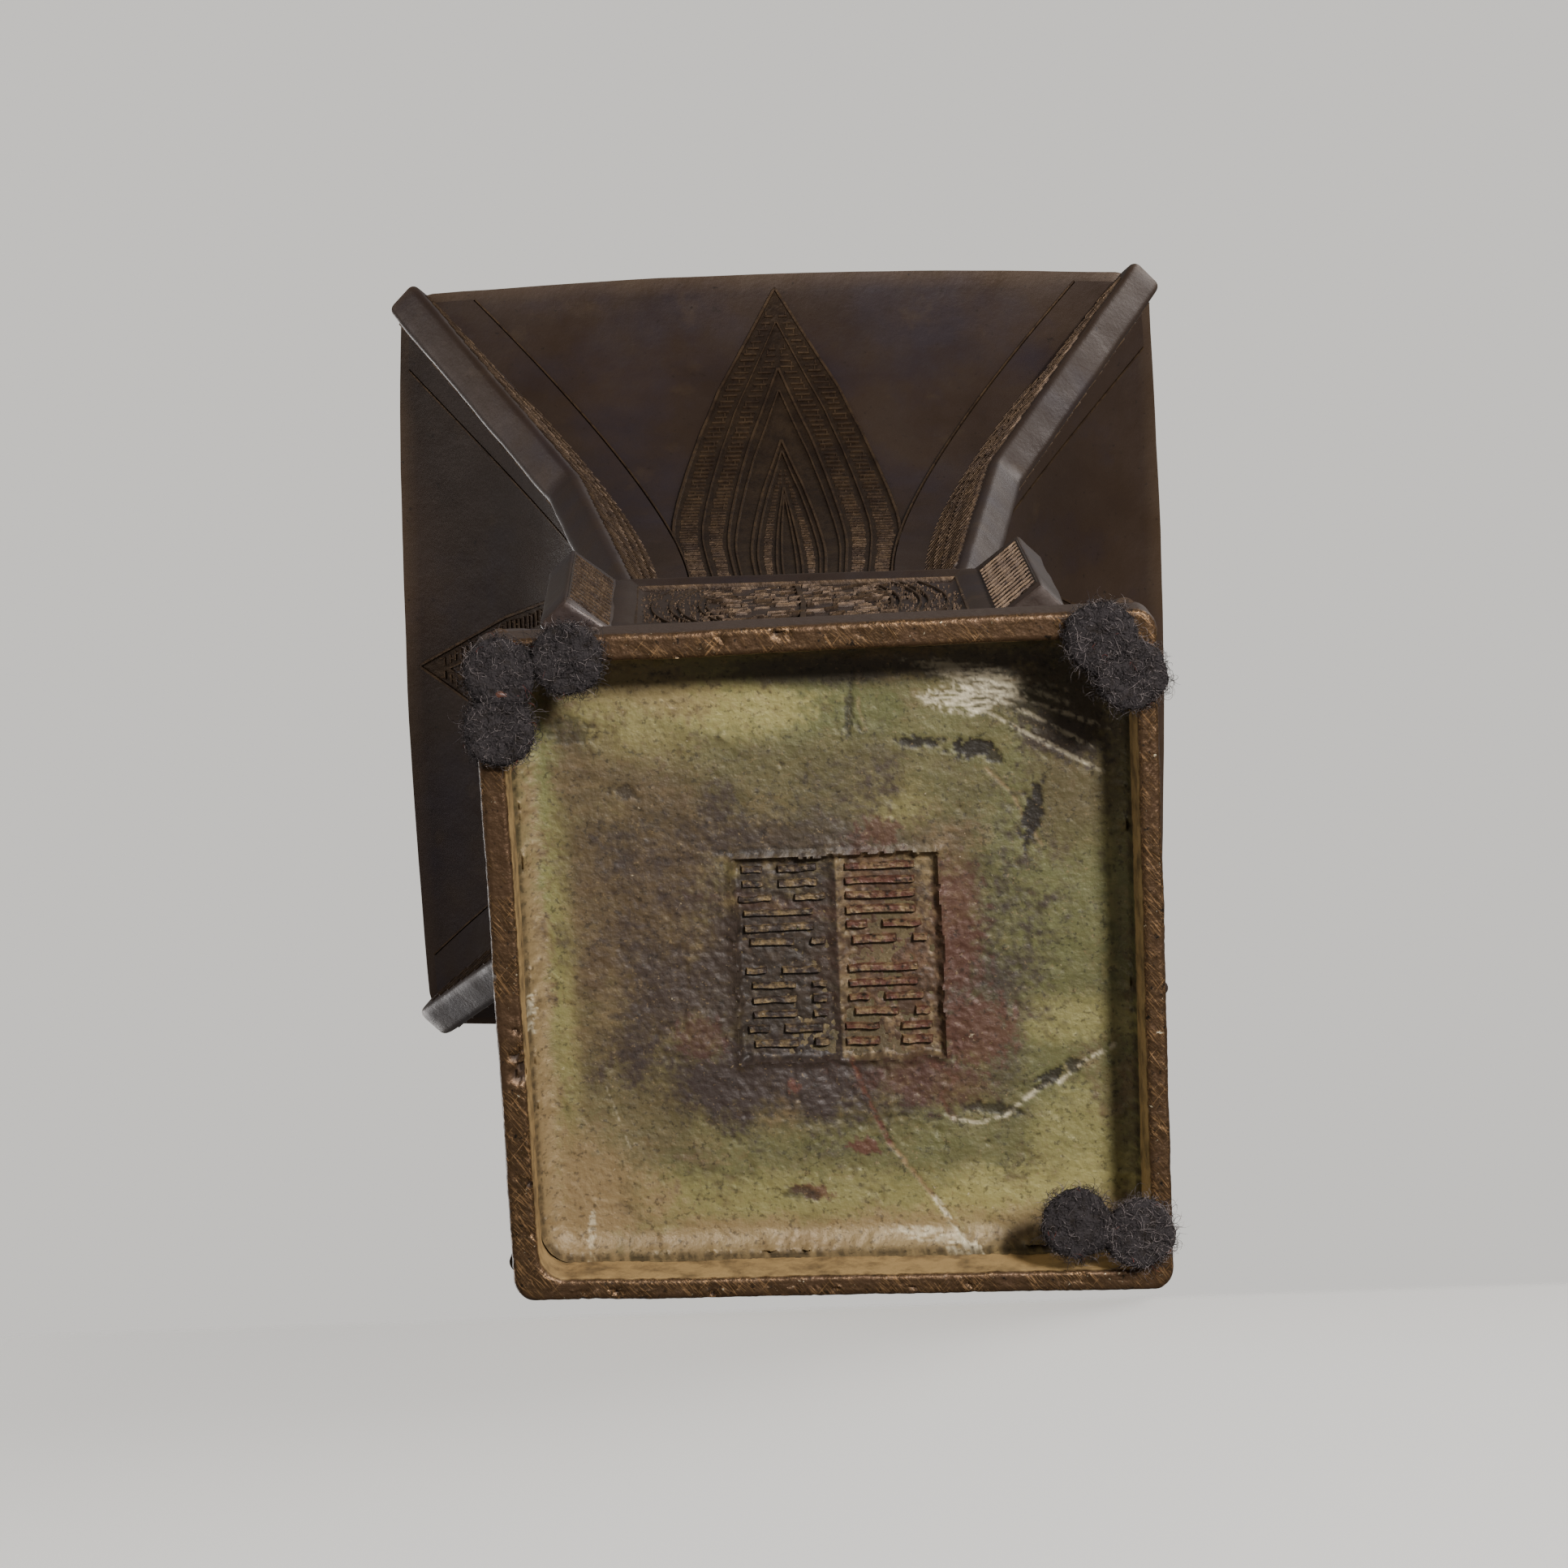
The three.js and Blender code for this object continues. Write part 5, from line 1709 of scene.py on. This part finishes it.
class VASE_OT_stage(bpy.types.Operator):
    """Set the camera, the pale floor that the vase stands on and lies on, and the soft lights"""

    bl_idname = "vase.stage"
    bl_label = "Stage"

    def execute(self, context):
        s = sizes()
        scene = context.scene
        data = bpy.data.cameras.new("camera")
        data.lens = 36 * 6000 / 1932
        data.sensor_width = 36
        data.clip_start = 0.05
        data.clip_end = 20
        camera = bpy.data.objects.new("camera", data)
        scene.collection.objects.link(camera)
        turn = Euler([math.radians(a) for a in (10.767, -0.829, -1.853)], "XYZ").to_matrix()
        axes = Matrix((turn[0], -turn[1], -turn[2])).transposed()
        place = Vector((-0.01491, -0.15356, -0.66995 + s.lift))
        camera.matrix_world = Matrix.Translation(place) @ axes.to_4x4()
        scene.camera = camera
        self.floor("floor", 6.0, Matrix.Identity(4), [("X", False, 0.3, 1.8), ("Y", False, 0.3, 1.8)])
        low = Vector((0, s.foot_half + 0.0022, s.lift))
        tilt = math.radians(5.7)
        lying = Matrix.Translation(low) @ Matrix.Rotation(math.radians(90) - tilt, 4, "X")
        self.floor("lying_floor", 2.4, lying, [("X", False, 0.11, 0.32), ("Y", True, -0.006, -0.0005)])
        select_nothing()
        bpy.ops.mesh.primitive_uv_sphere_add(radius=5, segments=48, ring_count=24)
        dome = bpy.context.object
        dome.name = "backdrop"
        material = bpy.data.materials.new("pale_backdrop")
        material.use_nodes = True
        tree = material.node_tree
        tree.nodes.clear()
        glow = add_node(tree, "ShaderNodeEmission", {"Color": tone("ground"), "Strength": 1.15})
        add_node(tree, "ShaderNodeOutputMaterial", {"Surface": glow.outputs[0]})
        dome.data.materials.append(material)
        self.only_seen(dome)
        world = bpy.data.worlds.new("studio")
        scene.world = world
        world.use_nodes = True
        world.node_tree.nodes["Background"].inputs[0].default_value = (1.0, 0.96, 0.92, 1.0)
        world.node_tree.nodes["Background"].inputs[1].default_value = 0.17
        middle = Vector((0, 0, 0.05))
        lights = [
            ("key", (0.50, -0.62, -0.95), 0.22, 23.0),
            ("left", (-1.25, -0.55, 0.02), 1.2, 8.5),
            ("right_top", (1.0, -0.9, 0.95), 0.9, 11.0),
            ("back_top", (-1.1, 0.8, 1.5), 1.0, 20.0),
        ]
        for name, place, size, power in lights:
            self.light(name, Vector(place), size, power, middle)
        return {"FINISHED"}

    def only_seen(self, obj):
        """Part of the studio that the camera sees, and that neither lights nor darkens the vase."""
        obj.visible_shadow = False
        obj.visible_diffuse = False
        obj.visible_glossy = False
        obj.visible_transmission = False

    def floor(self, name, size, matrix, fades):
        select_nothing()
        bpy.ops.mesh.primitive_plane_add(size=size)
        obj = bpy.context.object
        obj.name = name
        obj.matrix_world = matrix
        obj.data.materials.append(one_sided_floor(f"pale_{name}", fades))
        self.only_seen(obj)

    def light(self, name, place, size, power, target):
        data = bpy.data.lights.new(name, "AREA")
        data.shape = "DISK"
        data.size = size
        data.energy = power
        obj = bpy.data.objects.new(name, data)
        bpy.context.scene.collection.objects.link(obj)
        obj.location = place
        obj.rotation_euler = (target - place).to_track_quat("-Z", "Y").to_euler()


class VASE_PT_panel(bpy.types.Panel):
    bl_idname = "VASE_PT_panel"
    bl_label = "Bronze fanggu vase"
    bl_space_type = "VIEW_3D"
    bl_region_type = "UI"
    bl_category = "Vase"

    def draw(self, context):
        for name in (*VaseSizes.__annotations__,):
            self.layout.prop(context.scene.vase_sizes, name)
        for name in (*VaseColours.__annotations__,):
            self.layout.prop(context.scene.vase_colours, name)
        for operator in OPERATORS:
            self.layout.operator(operator.bl_idname)


OPERATORS = [
    VASE_OT_casting,
    VASE_OT_rim,
    VASE_OT_base,
    VASE_OT_flanges,
    VASE_OT_leaves,
    VASE_OT_strips,
    VASE_OT_flange_relief,
    VASE_OT_masks,
    VASE_OT_foot_relief,
    VASE_OT_mark,
    VASE_OT_felt,
    VASE_OT_stage,
]
CLASSES = [VaseSizes, VaseColours, *OPERATORS, VASE_PT_panel]


def register():
    for item in CLASSES:
        bpy.utils.register_class(item)
    bpy.types.Scene.vase_sizes = bpy.props.PointerProperty(type=VaseSizes)
    bpy.types.Scene.vase_colours = bpy.props.PointerProperty(type=VaseColours)


def unregister():
    del bpy.types.Scene.vase_colours
    del bpy.types.Scene.vase_sizes
    for item in reversed(CLASSES):
        bpy.utils.unregister_class(item)


def main():
    register()
    bpy.ops.vase.casting()
    bpy.ops.vase.rim()
    bpy.ops.vase.base()
    bpy.ops.vase.flanges()
    bpy.ops.vase.leaves()
    bpy.ops.vase.strips()
    bpy.ops.vase.flange_relief()
    bpy.ops.vase.masks()
    bpy.ops.vase.foot_relief()
    bpy.ops.vase.mark()
    bpy.ops.vase.felt()
    bpy.ops.vase.stage()


if __name__ == "__main__":
    main()
